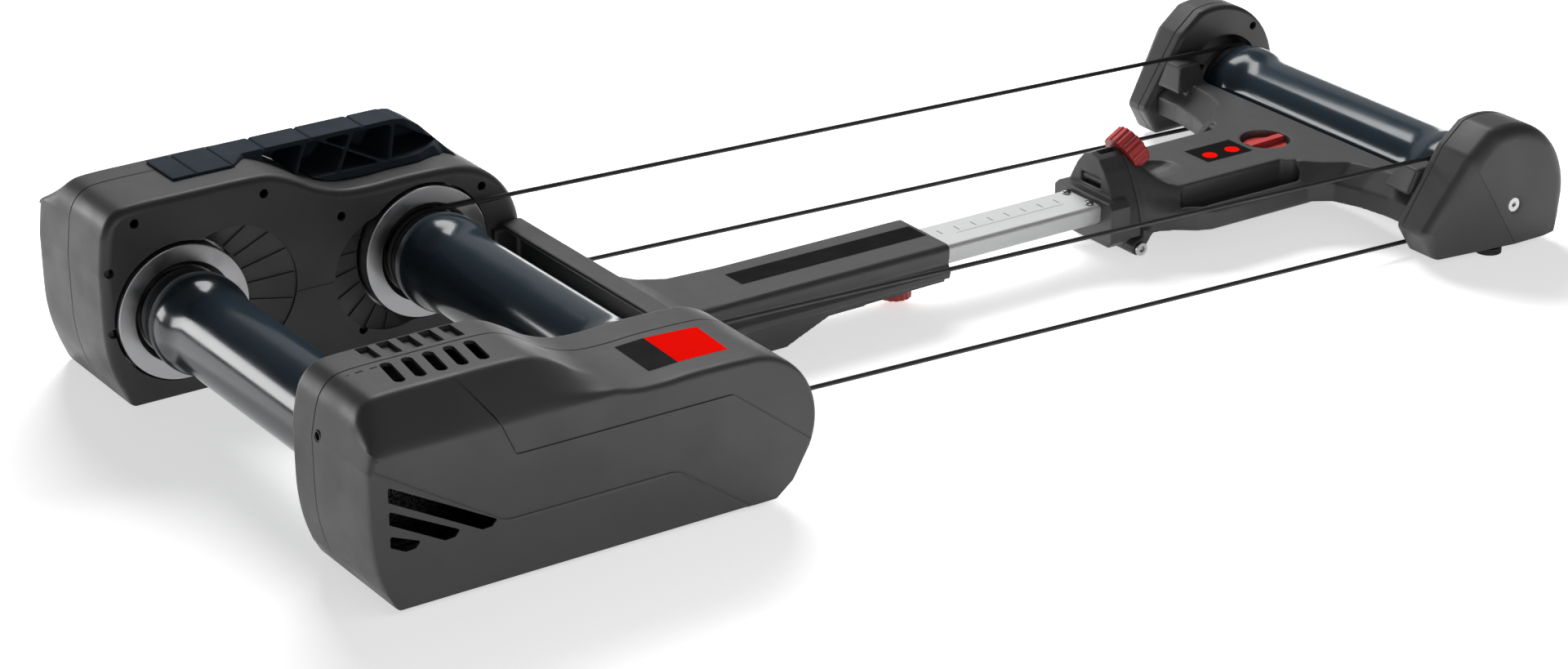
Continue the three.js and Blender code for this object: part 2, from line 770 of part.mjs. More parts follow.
// Front yoke: from the split face it spreads to the two arms that carry the front roller's caps
const yoke_from_split = { drop_x: 36.5, hollow_x: 42.5, spread_x: 53.5, pocket_rear_x: 30.5 };
const yoke_from_front_axle = {
  arm_rear_x: -130,
  pocket_front_x: -114,
  post_rear_x: -82,
  arm_tip_x: -81,
  post_front_x: -48,
  front_x: -46,
};
const yoke = {
  deck_z: 62,
  deck_half: 57,
  ledge_half: 77,
  ledge_z: 45,
  bottom: 25,
  bottom_round: 2,
  wall: 5,
  lug_root: 15,
  arm_lean: 19,
  post_length: 22,
  post_slope: 10,
  post_top: 79,
  pocket_inner: 48,
  pocket_outer: 68,
  pocket_corner: 9,
  pocket_floor: 32,
  ...placed(split_x, yoke_from_split),
  ...placed(front_axle_x, yoke_from_front_axle),
};
const dial_from_front_axle = { x: -101 };
const dial = {
  r: 21,
  recess_r: 23,
  recess_depth: 9,
  plate_height: 3,
  bar_width: 8,
  bar_height: 5,
  stem_r: 4,
  turn_degrees: 4,
  ...placed(front_axle_x, dial_from_front_axle),
};
// Finger room round the lock's knob, a bowl sunk into the deck
const scoop_from_split = { x: 38 };
const scoop = { half_length: 36, half_width: 23, depth: 9, height: 5, ...placed(split_x, scoop_from_split) };

// Step from the ledge up to the deck: [across, up] as shares of the step
const deck_step_shares = [[0, -0.1], [0.15, 0], [0.7, 0.3], [0.95, 0.75], [1.1, 1]];
// Half section of the full spread
function yoke_section() {
  const y = yoke;
  const rise = y.deck_z - y.ledge_z;
  const step = y.ledge_half - y.deck_half;
  const right = [
    [y.ledge_half - y.bottom_round, y.bottom],
    [y.ledge_half, y.bottom + y.bottom_round],
    ...deck_step_shares.map(([s, t]) => [y.ledge_half - s * step, y.ledge_z + t * rise]),
    [y.deck_half * half, y.deck_z],
    [0, y.deck_z],
  ];
  const left = right.slice(0, -1).map(([u, v]) => [-u, v]).reverse();
  return [...right, ...left];
}

// The yoke's section at a place along it: the dome of the split face melts into the full spread
function yoke_points(x) {
  const start = split_x + gap;
  const wide = ease(share_of(x, start, yoke.spread_x));
  const drop = ease(share_of(x, start, yoke.drop_x));
  const dome = dome_outline();
  return yoke_section().map(([u, v], i) => [blend(dome[i][0], u, wide), blend(dome[i][1], v, drop)]);
}

// A section drawn in by a wall on three sides and run past its lowest edge, for a cavity open below
function hollowed(points, wall) {
  if (!wall) return points;
  const across = points.map(([u]) => u);
  const up = points.map(([, v]) => v);
  const [left, right] = [Math.min(...across), Math.max(...across)];
  const [low, high] = [Math.min(...up), Math.max(...up)];
  return points.map(([u, v]) => [
    blend(left + wall, right - wall, share_of(u, left, right)),
    blend(low - overrun, high - wall, share_of(v, low, high)),
  ]);
}

// Stations of the flare, as shares of its length
const flare_shares = [0, 0.1, 0.25, 0.4, 0.55, 0.75, 1];
function yoke_body_loft(wall) {
  const start = wall ? yoke.hollow_x : split_x + gap;
  const stations = flare_shares.map((s) => blend(start, yoke.spread_x, s));
  stations.push(yoke.front_x - wall);
  return loft("x", stations.map((x) => {
    return { at: x, points: hollowed(yoke_points(x), wall) };
  }));
}

// Arms along y: [distance out as a share of the near arm's length, sweep forward as a share]
const arm_shares = [[0, 0], [0.35, 0], [0.45, 0.33], [0.52, 0.7], [0.67, 0.9], [0.85, 1], [1, 1]];
function arm_loft(wall) {
  const y = yoke;
  const ends = { near: cap_sides.near.inner - gap, far: cap_sides.far.inner - gap };
  const ring = (at, sweep) => {
    const rear = blend(y.arm_rear_x, y.arm_tip_x, sweep);
    const points = [
      [y.front_x - y.bottom_round, y.bottom + y.bottom_round], [y.front_x, y.deck_z],
      [rear + y.arm_lean, y.deck_z], [rear, y.ledge_z], [rear, y.bottom + y.bottom_round],
    ];
    return { at, points: hollowed(points, wall) };
  };
  const near = arm_shares.map(([s, sweep]) => ring(-s * (ends.near - wall), sweep)).slice(1).reverse();
  const far = arm_shares.map(([s, sweep]) => ring(s * (ends.far - wall), sweep));
  return loft("y", [...near, ...far]);
}

function post_loft(end) {
  const y = yoke;
  const way = Math.sign(end);
  const stations = [
    [end - way * (y.post_length + y.post_slope), y.deck_z - overrun],
    [end - way * y.post_length, y.post_top],
    [end, y.post_top],
  ];
  return loft("y", stations.map(([at, top]) => ({
    at,
    points: [
      [y.post_rear_x, y.deck_z - y.wall], [y.post_front_x, y.deck_z - y.wall], [y.post_front_x, top],
      [y.post_rear_x + (top - y.deck_z + y.wall) * half, top],
    ],
  })));
}

function pocket_outline(side_inset) {
  const y = yoke;
  const corner = y.pocket_corner;
  return inset([
    [y.pocket_rear_x, y.pocket_inner + corner],
    [y.pocket_rear_x + corner, y.pocket_inner],
    [y.pocket_front_x - corner, y.pocket_inner],
    [y.pocket_front_x, y.pocket_inner + corner],
    [y.pocket_front_x, y.pocket_outer - corner * half],
    [y.pocket_front_x - corner * half, y.pocket_outer],
    [y.pocket_rear_x + 2 * corner, y.pocket_outer],
  ], side_inset);
}

function mirrored_pair(body) {
  return [body, moved(body, new THREE.Matrix4().makeScale(1, -1, 1))];
}

function front_yoke_body() {
  const y = yoke;
  const h = hinge;
  const outside = join(yoke_body_loft(0), arm_loft(0));
  const inside = join(yoke_body_loft(y.wall), arm_loft(y.wall));
  const posts = [-cap_sides.near.inner + gap, cap_sides.far.inner - gap].map(post_loft);
  const pocket_well = shape_of(pocket_outline(-y.wall * half));
  const wells = mirrored_pair(plate("z", pocket_well, y.pocket_floor - y.wall * half, y.deck_z));
  const pockets = mirrored_pair(plate("z", shape_of(pocket_outline(0)), y.pocket_floor, y.deck_z + overrun));
  const dial_floor = y.deck_z - dial.recess_depth;
  const cup_wall = y.wall * half;
  const dial_cup = post(
    dial.x, 0, dial.recess_r + cup_wall, dial_floor - cup_wall, y.deck_z - overrun, fine_sides,
  );
  const dial_recess = post(dial.x, 0, dial.recess_r, dial_floor, y.deck_z + overrun, fine_sides);
  const dial_hole = post(dial.x, 0, dial.stem_r + gap, dial_floor - 2 * y.wall, y.deck_z);
  const split = split_x + gap;
  const lug_end = h.half_length - overrun;
  const lug = plate("y", shape_of([
    [h.x - gap, h.z + h.barrel_r - gap], [h.x, h.z - h.barrel_r + gap], [h.x + h.barrel_r, h.z - gap],
    [split + y.lug_root, y.bottom + y.bottom_round], [split, y.bottom + y.bottom_round],
    [split, block.dome_bottom],
  ]), h.middle_half + gap, lug_end);
  const knuckle = along_y(h.x, h.z, h.barrel_r, h.middle_half + gap, lug_end, small_sides);
  const lugs = mirrored_pair(join(lug, knuckle));
  const pin_bore = along_y(h.x, h.z, h.pin_r + gap, -h.half_length, h.half_length);
  const end = lock.knob_length * half;
  const knob_seat = on_lock_axis(rod(lock.knob_r + 2 * gap, -end - gap, 2 * lock.knob_length, fine_sides));
  const screw_hole = on_lock_axis(rod(lock.screw_r + gap, -lock.tail, 0));
  const cups = [...wells, bowl_body(y.wall)].map((cup) => cup.intersect(outside));
  const whole = join(cut(outside, inside), ...posts, ...cups, dial_cup, ...lugs);
  return cut(whole, ...pockets, bowl_body(0), dial_recess, dial_hole, pin_bore, knob_seat, screw_hole);
}

function bowl_body(extra) {
  const bowl = new THREE.SphereGeometry(1, small_sides, small_sides * half);
  bowl.scale(scoop.half_length + extra, scoop.half_width + extra, scoop.depth + scoop.height + extra);
  bowl.translate(scoop.x, 0, yoke.deck_z + scoop.height);
  return solid(bowl);
}

function dial_body() {
  const d = dial;
  const floor = yoke.deck_z - d.recess_depth + gap;
  const disc = post(0, 0, d.r, floor, floor + d.plate_height, fine_sides);
  const bar_top = floor + d.plate_height + d.bar_height;
  const bar = box(-d.r, d.r, -d.bar_width * half, d.bar_width * half, floor, bar_top);
  const stem = post(0, 0, d.stem_r, floor - yoke.wall - overrun, floor + gap);
  return join(disc, bar, stem);
}

// Caps at the ends of the front roller, each an inner and an outer shell
const cap_from_front_axle = { rear_x: -96, sole_rear_x: -79, bend_x: -52, arc_x: -10, sole_front_x: 39 };
const cap_above_front_axle = { crest_z: -13, bend_z: 55, arc_z: 2 };
const cap_past_drum = { outer_face: 66 };
const cap = {
  arc_r: 74,
  edge_round: 12,
  edge_ease: 3.6,
  wall: 3,
  ...placed(front_axle_x, cap_from_front_axle),
  ...placed(front_axle_z, cap_above_front_axle),
  ...placed(drum_half_length, cap_past_drum),
};
const far_cap_past_drum = { inner: 23 };
const near_cap_past_drum = { inner: 15 };
const cap_sides = {
  far: { way: 1, seam: 12, ...placed(drum_half_length, far_cap_past_drum) },
  near: { way: -1, seam: 9, ...placed(drum_half_length, near_cap_past_drum) },
};
const cap_lip_share = 0.3; // of the inner shell's depth, for its chamfer
const cap_arc = { from_degrees: -33, to_degrees: 105, steps: 12 };

function cap_outline() {
  const c = cap;
  return [
    [c.sole_rear_x, foot_height], [c.sole_front_x, foot_height],
    ...arc_points(c.arc_x, c.arc_z, c.arc_r, cap_arc.from_degrees, cap_arc.to_degrees, cap_arc.steps),
    [c.bend_x, c.bend_z], [c.rear_x, c.crest_z],
  ];
}

function cap_loft(side, rings) {
  const outline = cap_outline();
  return loft("y", rings.map(([depth, in_by]) => ({
    at: side.way * (side.inner + depth),
    points: in_by ? inset(outline, in_by) : outline,
  })));
}

function cap_shell(side, part) {
  const c = cap;
  const depth = c.outer_face - side.inner;
  if (part === "inner") {
    const edge = side.seam * cap_lip_share;
    const outside = cap_loft(side, [[0, edge], [edge, 0], [side.seam - gap, 0]]);
    const hollow = cap_loft(side, [[c.wall, c.wall + edge], [side.seam + overrun, c.wall]]);
    return cut(outside, hollow);
  }
  const rings = [[depth - c.edge_round, 0], [depth - c.edge_ease, c.edge_ease], [depth, c.edge_round]];
  const outside = cap_loft(side, [[side.seam, 0], ...rings]);
  const cavity = rings.map(([at, in_by]) => [at - c.wall, in_by + c.wall]);
  return cut(outside, cap_loft(side, [[side.seam - overrun, c.wall], ...cavity]));
}

// Belts: one closed loop at each end of the drums, from the middle roller to the front one
function belt_body(y) {
  const reach_x = front_axle_x - middle_axle_x;
  const reach_z = front_axle_z - rear_axle_z;
  const lean = THREE.MathUtils.radToDeg(Math.atan2(reach_z, reach_x));
  const line_r = pulley_r + belt.r;
  const steps = belt.wrap_steps;
  const path = [
    ...arc_points(front_axle_x, front_axle_z, line_r, lean - 90, lean + 90, steps),
    ...arc_points(middle_axle_x, rear_axle_z, line_r, lean + 90, lean + 270, steps),
  ];
  const count = path.length;
  const vertices = [];
  const faces = [];
  path.forEach(([x, z], i) => {
    const on_front = i <= steps;
    const cx = on_front ? front_axle_x : middle_axle_x;
    const cz = on_front ? front_axle_z : rear_axle_z;
    const out = new THREE.Vector2(x - cx, z - cz).normalize();
    for (let k = 0; k < belt.sides; k++) {
      const angle = (k / belt.sides) * full_turn;
      const lift = belt.r * Math.cos(angle);
      vertices.push(x + out.x * lift, y + belt.r * Math.sin(angle), z + out.y * lift);
      const next = (k + 1) % belt.sides;
      const ahead = ((i + 1) % count) * belt.sides;
      const here = i * belt.sides;
      faces.push(here + k, ahead + k, ahead + next, here + k, ahead + next, here + next);
    }
  });
  const geometry = new THREE.BufferGeometry();
  geometry.setAttribute("position", new THREE.Float32BufferAttribute(vertices, 3));
  geometry.setIndex(faces);
  return solid(geometry);
}

// Height of a belt's strand over a place along the frame, for the slots it runs through
function strand_z(x, up) {
  const share = (x - middle_axle_x) / (front_axle_x - middle_axle_x);
  return blend(rear_axle_z, front_axle_z, share) + up * (pulley_r + belt.r);
}

// Side openings and outer details of the housings
const disc_opening_r = flywheel.r + disc_clearance;
const boss_r = 6;
const screw_hole_r = 3.4;
const fan = { depth: 8, sides: 16, overlap: 1, rib_width: 1.8, rib_drop: 1.2, rib_degrees: 13, ribs: 7 };
// Air scoops beside the discs: where they aim, how far round they fade out, how far they reach
const fans = [
  { x: rear_axle_x, aim: 5, fade: 65, reach: 45 },
  { x: middle_axle_x, aim: 197, fade: 60, reach: 28 },
];
// Screw places on the far housing's inner face, over its length and the crown's height
const bossed_screw_shares = [[0.082, 0.909], [0.38, 0.909], [0.559, 0.698], [0.903, 0.68]];
const plain_screw_shares = [[0.018, 0.686], [0.017, 0.375], [0.597, 0.07]];
// Where the outer shells are screwed to the end plates
const outer_boss_shares = [[0.5, 0.2], [0.5, 0.6]];

function on_side(side, shares) {
  return spread(shares, housing.rear_x, housing.length, foot_height, side.crown - foot_height);
}

function fan_ring(one, at, extra) {
  const points = [];
  for (let i = 0; i < fan.sides; i++) {
    const degrees = (i / fan.sides) * 360;
    const off = Math.acos(Math.cos(THREE.MathUtils.degToRad(degrees - one.aim)));
    const fade = THREE.MathUtils.degToRad(one.fade);
    const swell = off < fade ? Math.cos((off / fade) * Math.PI * half) * one.reach : 0;
    const r = disc_opening_r + extra + (at.front ? swell : 0);
    const angle = THREE.MathUtils.degToRad(degrees);
    points.push([one.x + r * Math.cos(angle), rear_axle_z + r * Math.sin(angle)]);
  }
  return { at: at.y, points };
}

function fan_parts(one) {
  const face = housing_sides.far.inner;
  const wall = housing.wall;
  const scoop = loft("y", [
    fan_ring(one, { y: face - gap, front: true }, 0),
    fan_ring(one, { y: face + fan.depth, front: false }, 0),
  ]);
  const backing = loft("y", [
    fan_ring(one, { y: face + fan.overlap, front: true }, wall),
    fan_ring(one, { y: face + fan.depth + wall, front: false }, wall),
  ]);
  const ribs = [];
  for (let i = 0; i < fan.ribs; i++) {
    const degrees = one.aim + (i - (fan.ribs - 1) * half) * fan.rib_degrees;
    const rib = box(0, disc_opening_r + one.reach, face + fan.rib_drop, face + fan.depth + wall,
      -fan.rib_width * half, fan.rib_width * half);
    const turned_rib = moved(rib, new THREE.Matrix4().makeRotationY(-THREE.MathUtils.degToRad(degrees)));
    ribs.push(shifted(turned_rib, one.x, 0, rear_axle_z).intersect(backing));
  }
  const opening = along_y(one.x, rear_axle_z, disc_opening_r, face - overrun, face + fan.depth + 2 * wall,
    fan.sides);
  return { scoop, backing, ribs, opening };
}

// A boss behind a side's face, between two distances from the middle
function screw_boss(x, z, side, from, to) {
  return along_y(x, z, boss_r, side.way * from, side.way * to, coarse_sides);
}

function belt_slot(side, up, half_height) {
  const nose_x = housing.rear_x + housing.length;
  const from = middle_axle_x + pulley_r;
  const z = strand_z(nose_x - housing.toe_depth, up);
  const y = side.way * belt.y;
  return box(from, nose_x + overrun, y - 2 * belt.r, y + 2 * belt.r, z - half_height, z + half_height);
}

function tongue_slot(side) {
  const f = frame;
  const from = side.inner - side.way * overrun;
  const to = side.inner + side.way * (housing.wall + overrun);
  return box(tongue_x - gap, tongue_x + f.tongue_depth + gap, Math.min(from, to), Math.max(from, to),
    f.tongue_bottom - gap, f.tongue_bottom + f.tongue_height + gap);
}

function far_inner_shell_body() {
  const side = housing_sides.far;
  const parts = fans.map(fan_parts);
  const shell = housing_shell(side, "inner");
  const deep = housing.wall * half;
  const bosses = on_side(side, bossed_screw_shares).map(([x, z]) =>
    screw_boss(x, z, side, side.inner + deep, frame.plate_y - gap));
  const backed = join(shell, ...parts.map((p) => p.backing), ...bosses);
  const scooped = cut(backed, ...parts.map((p) => p.scoop));
  const ribbed = join(scooped, ...parts.flatMap((p) => p.ribs));
  const holes = on_side(side, [...bossed_screw_shares, ...plain_screw_shares]).map(([x, z]) =>
    along_y(x, z, screw_hole_r, side.inner - overrun, side.inner + housing.edge_round, coarse_sides));
  const channels = [1, -1].map((up) => {
    const nose_x = housing.rear_x + housing.length;
    const z = strand_z(nose_x - housing.toe_depth, up);
    const room = 3 * belt.r;
    return box(middle_axle_x, nose_x + overrun, side.inner - overrun, side.inner + deep, z - room, z + room);
  });
  return cut(ribbed, ...parts.map((p) => p.opening), ...holes, ...channels, tongue_slot(side));
}

function outer_bosses(side) {
  const face = Math.abs(side.inner) + housing.width - housing.wall * half;
  return on_side(side, outer_boss_shares).map(([x, z]) =>
    screw_boss(x, z, side, frame.plate_y + frame.plate_thickness + gap, face));
}

// Air slots across the near housing's top
const top_slots = {
  first_x: 36,
  pitch: 17.8,
  count: 5,
  width: 9.5,
  length: 38,
  inset: 42, // from the housing's inner face
  recess_width: 11,
  recess_length: 23,
  recess_depth: 1.2,
};
const slot_lean = 0.15; // sideways step of a slot against its length
const vents_from_housing_rear = { rear_x: 15 };
const vents = {
  top: 107,
  pitch: 18.5,
  mouth: 11,
  tip_z: 51,
  count: 3,
  ...placed(housing.rear_x, vents_from_housing_rear),
};
const vent_slope = 0.7; // fall of a vent against its run

function near_inner_shell_body() {
  const side = housing_sides.near;
  const shell = housing_shell(side, "inner");
  const deep = housing.wall * half;
  const bosses = on_side(side, outer_boss_shares).map(([x, z]) =>
    screw_boss(x, z, side, -side.inner + deep, frame.plate_y - gap));
  const room_end = side.inner - 2 * housing.wall;
  const openings = [rear_axle_x, middle_axle_x].map((x) =>
    along_y(x, rear_axle_z, drum_opening_r, side.inner + overrun, room_end, round_sides));
  const slots = [1, -1].map((up) => belt_slot(side, up, 3 * belt.r));
  const recesses = [];
  for (let i = 0; i < top_slots.count; i++) {
    const x = top_slots.first_x + i * top_slots.pitch;
    recesses.push(box(x - top_slots.recess_width * half, x + top_slots.recess_width * half,
      side.inner - housing.edge_round - top_slots.recess_length, side.inner - housing.edge_round,
      side.crown - top_slots.recess_depth, side.crown + overrun));
  }
  return cut(join(shell, ...bosses), ...openings, ...slots, ...recesses, tongue_slot(side));
}

function near_outer_shell_body() {
  const side = housing_sides.near;
  const t = top_slots;
  const cuts = [];
  for (let i = 0; i < t.count; i++) {
    const x = t.first_x + i * t.pitch;
    const r = t.width * half;
    const shape = new THREE.Shape().absarc(0, 0, r, 0, Math.PI);
    shape.absarc(0, -(t.length - 2 * r), r, Math.PI, full_turn);
    const slot = plate("z", shape, side.crown - 3 * housing.wall, side.crown + overrun, corner_steps);
    const shear = new THREE.Matrix4().makeShear(0, 0, slot_lean, 0, 0, 0);
    cuts.push(shifted(moved(slot, shear), x, side.inner - t.inset - r, 0));
  }
  const face = side.inner - housing.width;
  for (let i = 0; i < vents.count; i++) {
    const top = vents.top - i * vents.pitch;
    const run = (top - vents.tip_z) / vent_slope;
    cuts.push(plate("y", shape_of([
      [vents.rear_x, top], [vents.rear_x, top - vents.mouth],
      [vents.rear_x + run - vents.mouth * half, vents.tip_z - overrun], [vents.rear_x + run, vents.tip_z],
    ]), face - overrun, face + 2 * housing.wall));
  }
  const socket_hole = along_x(socket.y, socket.z, socket.r + gap, housing.rear_x - overrun,
    housing.rear_x + 2 * housing.wall);
  return cut(join(housing_shell(side, "outer"), ...outer_bosses(side)), ...cuts, socket_hole);
}

function far_outer_shell_body() {
  const side = housing_sides.far;
  return join(housing_shell(side, "outer"), ...outer_bosses(side));
}

function along_x(y, z, r, from, to, sides = small_sides) {
  return shifted(laid_along_x(rod(r, from, to, sides)), 0, y, z);
}

// Step on the far housing, ribbed where it bridges the dip
const step_above_crown = { top: 2.5 };
const step_above_dip = { base: -17 };
const step_from_housing_rear = {
  rear_x: 83,
  bridge_x: 138,
  mouth_rear_x: 173,
  brow_x: 300,
  mouth_front_x: 335,
  front_x: 359,
};
const step_past_far_face = { foot_near: 26, near: 32, strip_near: 52, far: 83 };
const step = {
  bridge_ease: 18,
  near_slope: 1.2,
  skin: 3.5,
  brow_skin: 5.2,
  rib: 2,
  sill: 7,
  groove_width: 2.4,
  groove_depth: 1.2,
  ...placed(housing_sides.far.crown, step_above_crown),
  ...placed(housing_sides.far.saddle, step_above_dip),
  ...placed(housing.rear_x, step_from_housing_rear),
  ...placed(housing_sides.far.inner, step_past_far_face),
};
// Front slope of the step, over its length and its height above the base
const brow_shares = [[0, 1], [0.17, 0.97], [0.4, 0.8], [0.7, 0.45], [1, 0.08]];
const groove_shares = [0.1, 0.25, 0.43, 0.63, 0.86]; // over the length up to the brow
// Ribs in side view: [top, bottom] over the mouth's length
const rib_shares = [[0.26, 0.1], [0.54, 0.36], [0.78, 0.67], [0.31, 0.66]];

function step_section(near_foot, near_top, top) {
  const shoulder = Math.max(step.base + overrun, top - (near_top - near_foot) * step.near_slope);
  return [
    [near_foot, step.base], [step.far, step.base], [step.far, top], [near_top, top], [near_foot, shoulder],
  ];
}

function step_plate_body() {
  const s = step;
  const brow = spread(brow_shares, s.brow_x, s.front_x - s.brow_x, s.base, s.top - s.base);
  const rings = [
    { at: s.rear_x, points: step_section(s.near - gap, s.near, s.top) },
    { at: s.bridge_x, points: step_section(s.near - gap, s.near, s.top) },
    { at: s.bridge_x + s.bridge_ease, points: step_section(s.foot_near, s.strip_near, s.top) },
    ...brow.map(([x, top]) => ({ at: x, points: step_section(s.foot_near, s.strip_near, top) })),
  ];
  const outside = loft("x", rings);
  const side = housing_sides.far;
  const outline = inset(housing_outline(side), -gap);
  const under = plate("y", shape_of(outline), side.inner, side.inner + housing.width);
  const sill_top = side.saddle + s.sill;
  const open_y = s.foot_near - overrun;
  const mouth = [
    { at: s.mouth_rear_x, top: s.top - s.skin },
    { at: s.brow_x, top: s.top - s.skin },
    ...brow.slice(1, -1).map(([x, top]) => ({
      at: x - s.skin,
      top: Math.max(top - s.brow_skin, sill_top + overrun),
    })),
  ].map(({ at, top }) => ({
    at,
    points: [[open_y, sill_top], [s.far - s.skin, sill_top], [s.far - s.skin, top], [open_y, top]],
  }));
  const hollow = loft("x", mouth);
  const length = s.mouth_front_x - s.mouth_rear_x;
  const ribs = rib_shares.map(([top_share, bottom_share]) => {
    const top = s.mouth_rear_x + top_share * length;
    const bottom = s.mouth_rear_x + bottom_share * length;
    return plate("y", shape_of([
      [bottom - s.rib, sill_top - s.rib], [bottom + s.rib, sill_top - s.rib],
      [top + s.rib, s.top - s.skin + s.rib], [top - s.rib, s.top - s.skin + s.rib],
    ]), s.foot_near, s.far - s.skin * half);
  });
  const bridge = outside.intersect(join(cut(outside, hollow), ...ribs));
  const grooves = groove_shares.map((share) => {
    const x = blend(s.rear_x, s.brow_x, share);
    return box(x - s.groove_width * half, x + s.groove_width * half, s.near - overrun, s.far + overrun,
      s.top - s.groove_depth, s.top + overrun);
  });
  return cut(bridge, under, ...grooves);
}

// Brake and electronics in the near housing
const carrier_past_disc_rim = { bridge_r: 2, outer_r: 6 };
const carrier_past_disc_floor = { inner_y: -2.7, outer_y: 8.9 };
const carrier = {
  aim_from: 28,
  aim_to: 82,
  inner_r: 42,
  cheek: 2,
  ...placed(disc_floor_y, carrier_past_disc_floor),
  ...placed(brake_disc.r, carrier_past_disc_rim),
  pivot_r: 80,
  pivot_degrees: 20,
  hub_r: 7,
  shaft_r: 3,
};
const pivot_angle = THREE.MathUtils.degToRad(carrier.pivot_degrees);
const carrier_x = rear_axle_x + carrier.pivot_r * Math.cos(pivot_angle);
const carrier_z = rear_axle_z + carrier.pivot_r * Math.sin(pivot_angle);
const servo = { width: 40, height: 20, depth: 34 };
const board = { rear_x: 190, front_x: 260, bottom: 42, top: 98, thickness: 1.6, chip: 14, chip_height: 4 };
const socket_past_near_face = { y: -45 };
const socket = {
  z: 122,
  r: 4.7,
  bore_r: 3.5,
  length: 12,
  bore_depth: 9,
  ...placed(housing_sides.near.inner, socket_past_near_face),
};

function sector(inner_r, outer_r, from_y, to_y) {
  const c = carrier;
  const outer = arc_points(0, 0, outer_r, c.aim_from, c.aim_to, nose_steps);
  const inner = arc_points(0, 0, inner_r, c.aim_to, c.aim_from, nose_steps);
  return shifted(plate("y", shape_of([...outer, ...inner]), -to_y, -from_y), rear_axle_x, 0, rear_axle_z);
}

function magnet_carrier_body() {
  const c = carrier;
  const cheeks = [
    sector(c.inner_r, c.outer_r, c.inner_y, c.inner_y + c.cheek),
    sector(c.inner_r, c.outer_r, c.outer_y - c.cheek, c.outer_y),
    sector(c.bridge_r, c.outer_r, c.inner_y, c.outer_y),
  ];
  const start = THREE.MathUtils.degToRad(c.aim_from);
  const root_x = rear_axle_x + c.outer_r * Math.cos(start) - overrun;
  const root_z = rear_axle_z + c.outer_r * Math.sin(start);
  const arm = plate("y", shape_of([
    [root_x, root_z + c.hub_r], [root_x, root_z],
    [carrier_x, carrier_z - c.hub_r], [carrier_x, carrier_z + c.hub_r],
  ]), -c.outer_y, -c.outer_y + c.cheek * 2);
  const hub = along_y(carrier_x, carrier_z, c.hub_r, -frame.plate_y + gap, -c.outer_y + c.cheek * 2);
  const bore = along_y(carrier_x, carrier_z, c.shaft_r + gap, -frame.plate_y - overrun, -c.inner_y);
  return cut(join(...cheeks, arm, hub), bore);
}

function servo_motor_body() {
  const s = servo;
  const face = -frame.plate_y - frame.plate_thickness - gap;
  const body = box(carrier_x - s.height * half, carrier_x + s.width - s.height * half, face - s.depth, face,
    carrier_z - s.height * half, carrier_z + s.height * half);
  return join(body, along_y(carrier_x, carrier_z, carrier.shaft_r, face - overrun, -carrier.outer_y));
}

function circuit_board_body() {
  const b = board;
  const face = -frame.plate_y - frame.plate_thickness - gap;
  const mid_x = (b.rear_x + b.front_x) * half;
  const mid_z = (b.bottom + b.top) * half;
  const sheet = box(b.rear_x, b.front_x, face - b.thickness, face, b.bottom, b.top);
  const chip_half = b.chip * half;
  const chip = box(
    mid_x - chip_half, mid_x + chip_half, face - b.chip_height, face, mid_z - chip_half, mid_z + chip_half,
  );
  return join(sheet, chip);
}

function power_socket_body() {
  const s = socket;
  const from = housing.rear_x + gap;
  return cut(along_x(s.y, s.z, s.r, from, from + s.length),
    along_x(s.y, s.z, s.bore_r, from - overrun, from + s.bore_depth));
}

function near_end_plate_body() {
  const hole = along_y(carrier_x, carrier_z, carrier.shaft_r + gap, -frame.plate_y + overrun,
    -frame.plate_y - frame.plate_thickness - overrun);
  return cut(end_plate(housing_sides.near), hole);
}

// Axles and their screws at the caps
const cap_screw = {
  head_r: 6.5,
  head_height: 3.7,
  shank_r: 3,
  shank_length: 10,
  hex_r: 2.6,
  hex_depth: 2.4,
  sink: 1, // below the cap's face
};
const hex_sides = 6;
const cap_boss = { r: 10, floor: 6, face: 1 };
const screw_face = cap.outer_face - cap_screw.sink;
const screw_seat_y = screw_face - cap_screw.head_height;
const front_axle_end = screw_seat_y - cap_boss.floor;

function front_axle_body() {
  const bore_to = front_axle_end - cap_screw.shank_length;
  const bores = mirrored_pair(rod(cap_screw.shank_r + gap, bore_to, front_axle_end + overrun, coarse_sides));
  return cut(rod(axle_r, -front_axle_end, front_axle_end), ...bores);
}

function axle_screw_body() {
  const c = cap_screw;
  const head = rod(c.head_r, screw_seat_y, screw_face);
  const shank = rod(c.shank_r, screw_seat_y - c.shank_length, screw_seat_y + gap, coarse_sides);
  return cut(join(head, shank), rod(c.hex_r, screw_face - c.hex_depth, screw_face + overrun, hex_sides));
}

function cap_outer_body(side) {
  const w = side.way;
  const boss_end = cap.outer_face - cap_boss.face;
  const boss = along_y(front_axle_x, front_axle_z, cap_boss.r, w * (side.inner + side.seam), w * boss_end);
  const bore = along_y(front_axle_x, front_axle_z, axle_r + gap, w * side.inner, w * (front_axle_end + gap));
  const bore_r = cap_screw.shank_r + gap;
  const shank = along_y(front_axle_x, front_axle_z, bore_r, w * side.inner, w * cap.outer_face);
  const seat = along_y(front_axle_x, front_axle_z, cap_screw.head_r + gap, w * (screw_seat_y - gap),
    w * (cap.outer_face + overrun), small_sides);
  return cut(join(cap_shell(side, "outer"), boss), bore, shank, seat);
}

function cap_inner_body(side) {
  const w = side.way;
  const opening = along_y(front_axle_x, front_axle_z, drum_opening_r, w * (side.inner - overrun),
    w * (side.inner + 2 * cap.wall), round_sides);
  return cut(cap_shell(side, "inner"), opening);
}

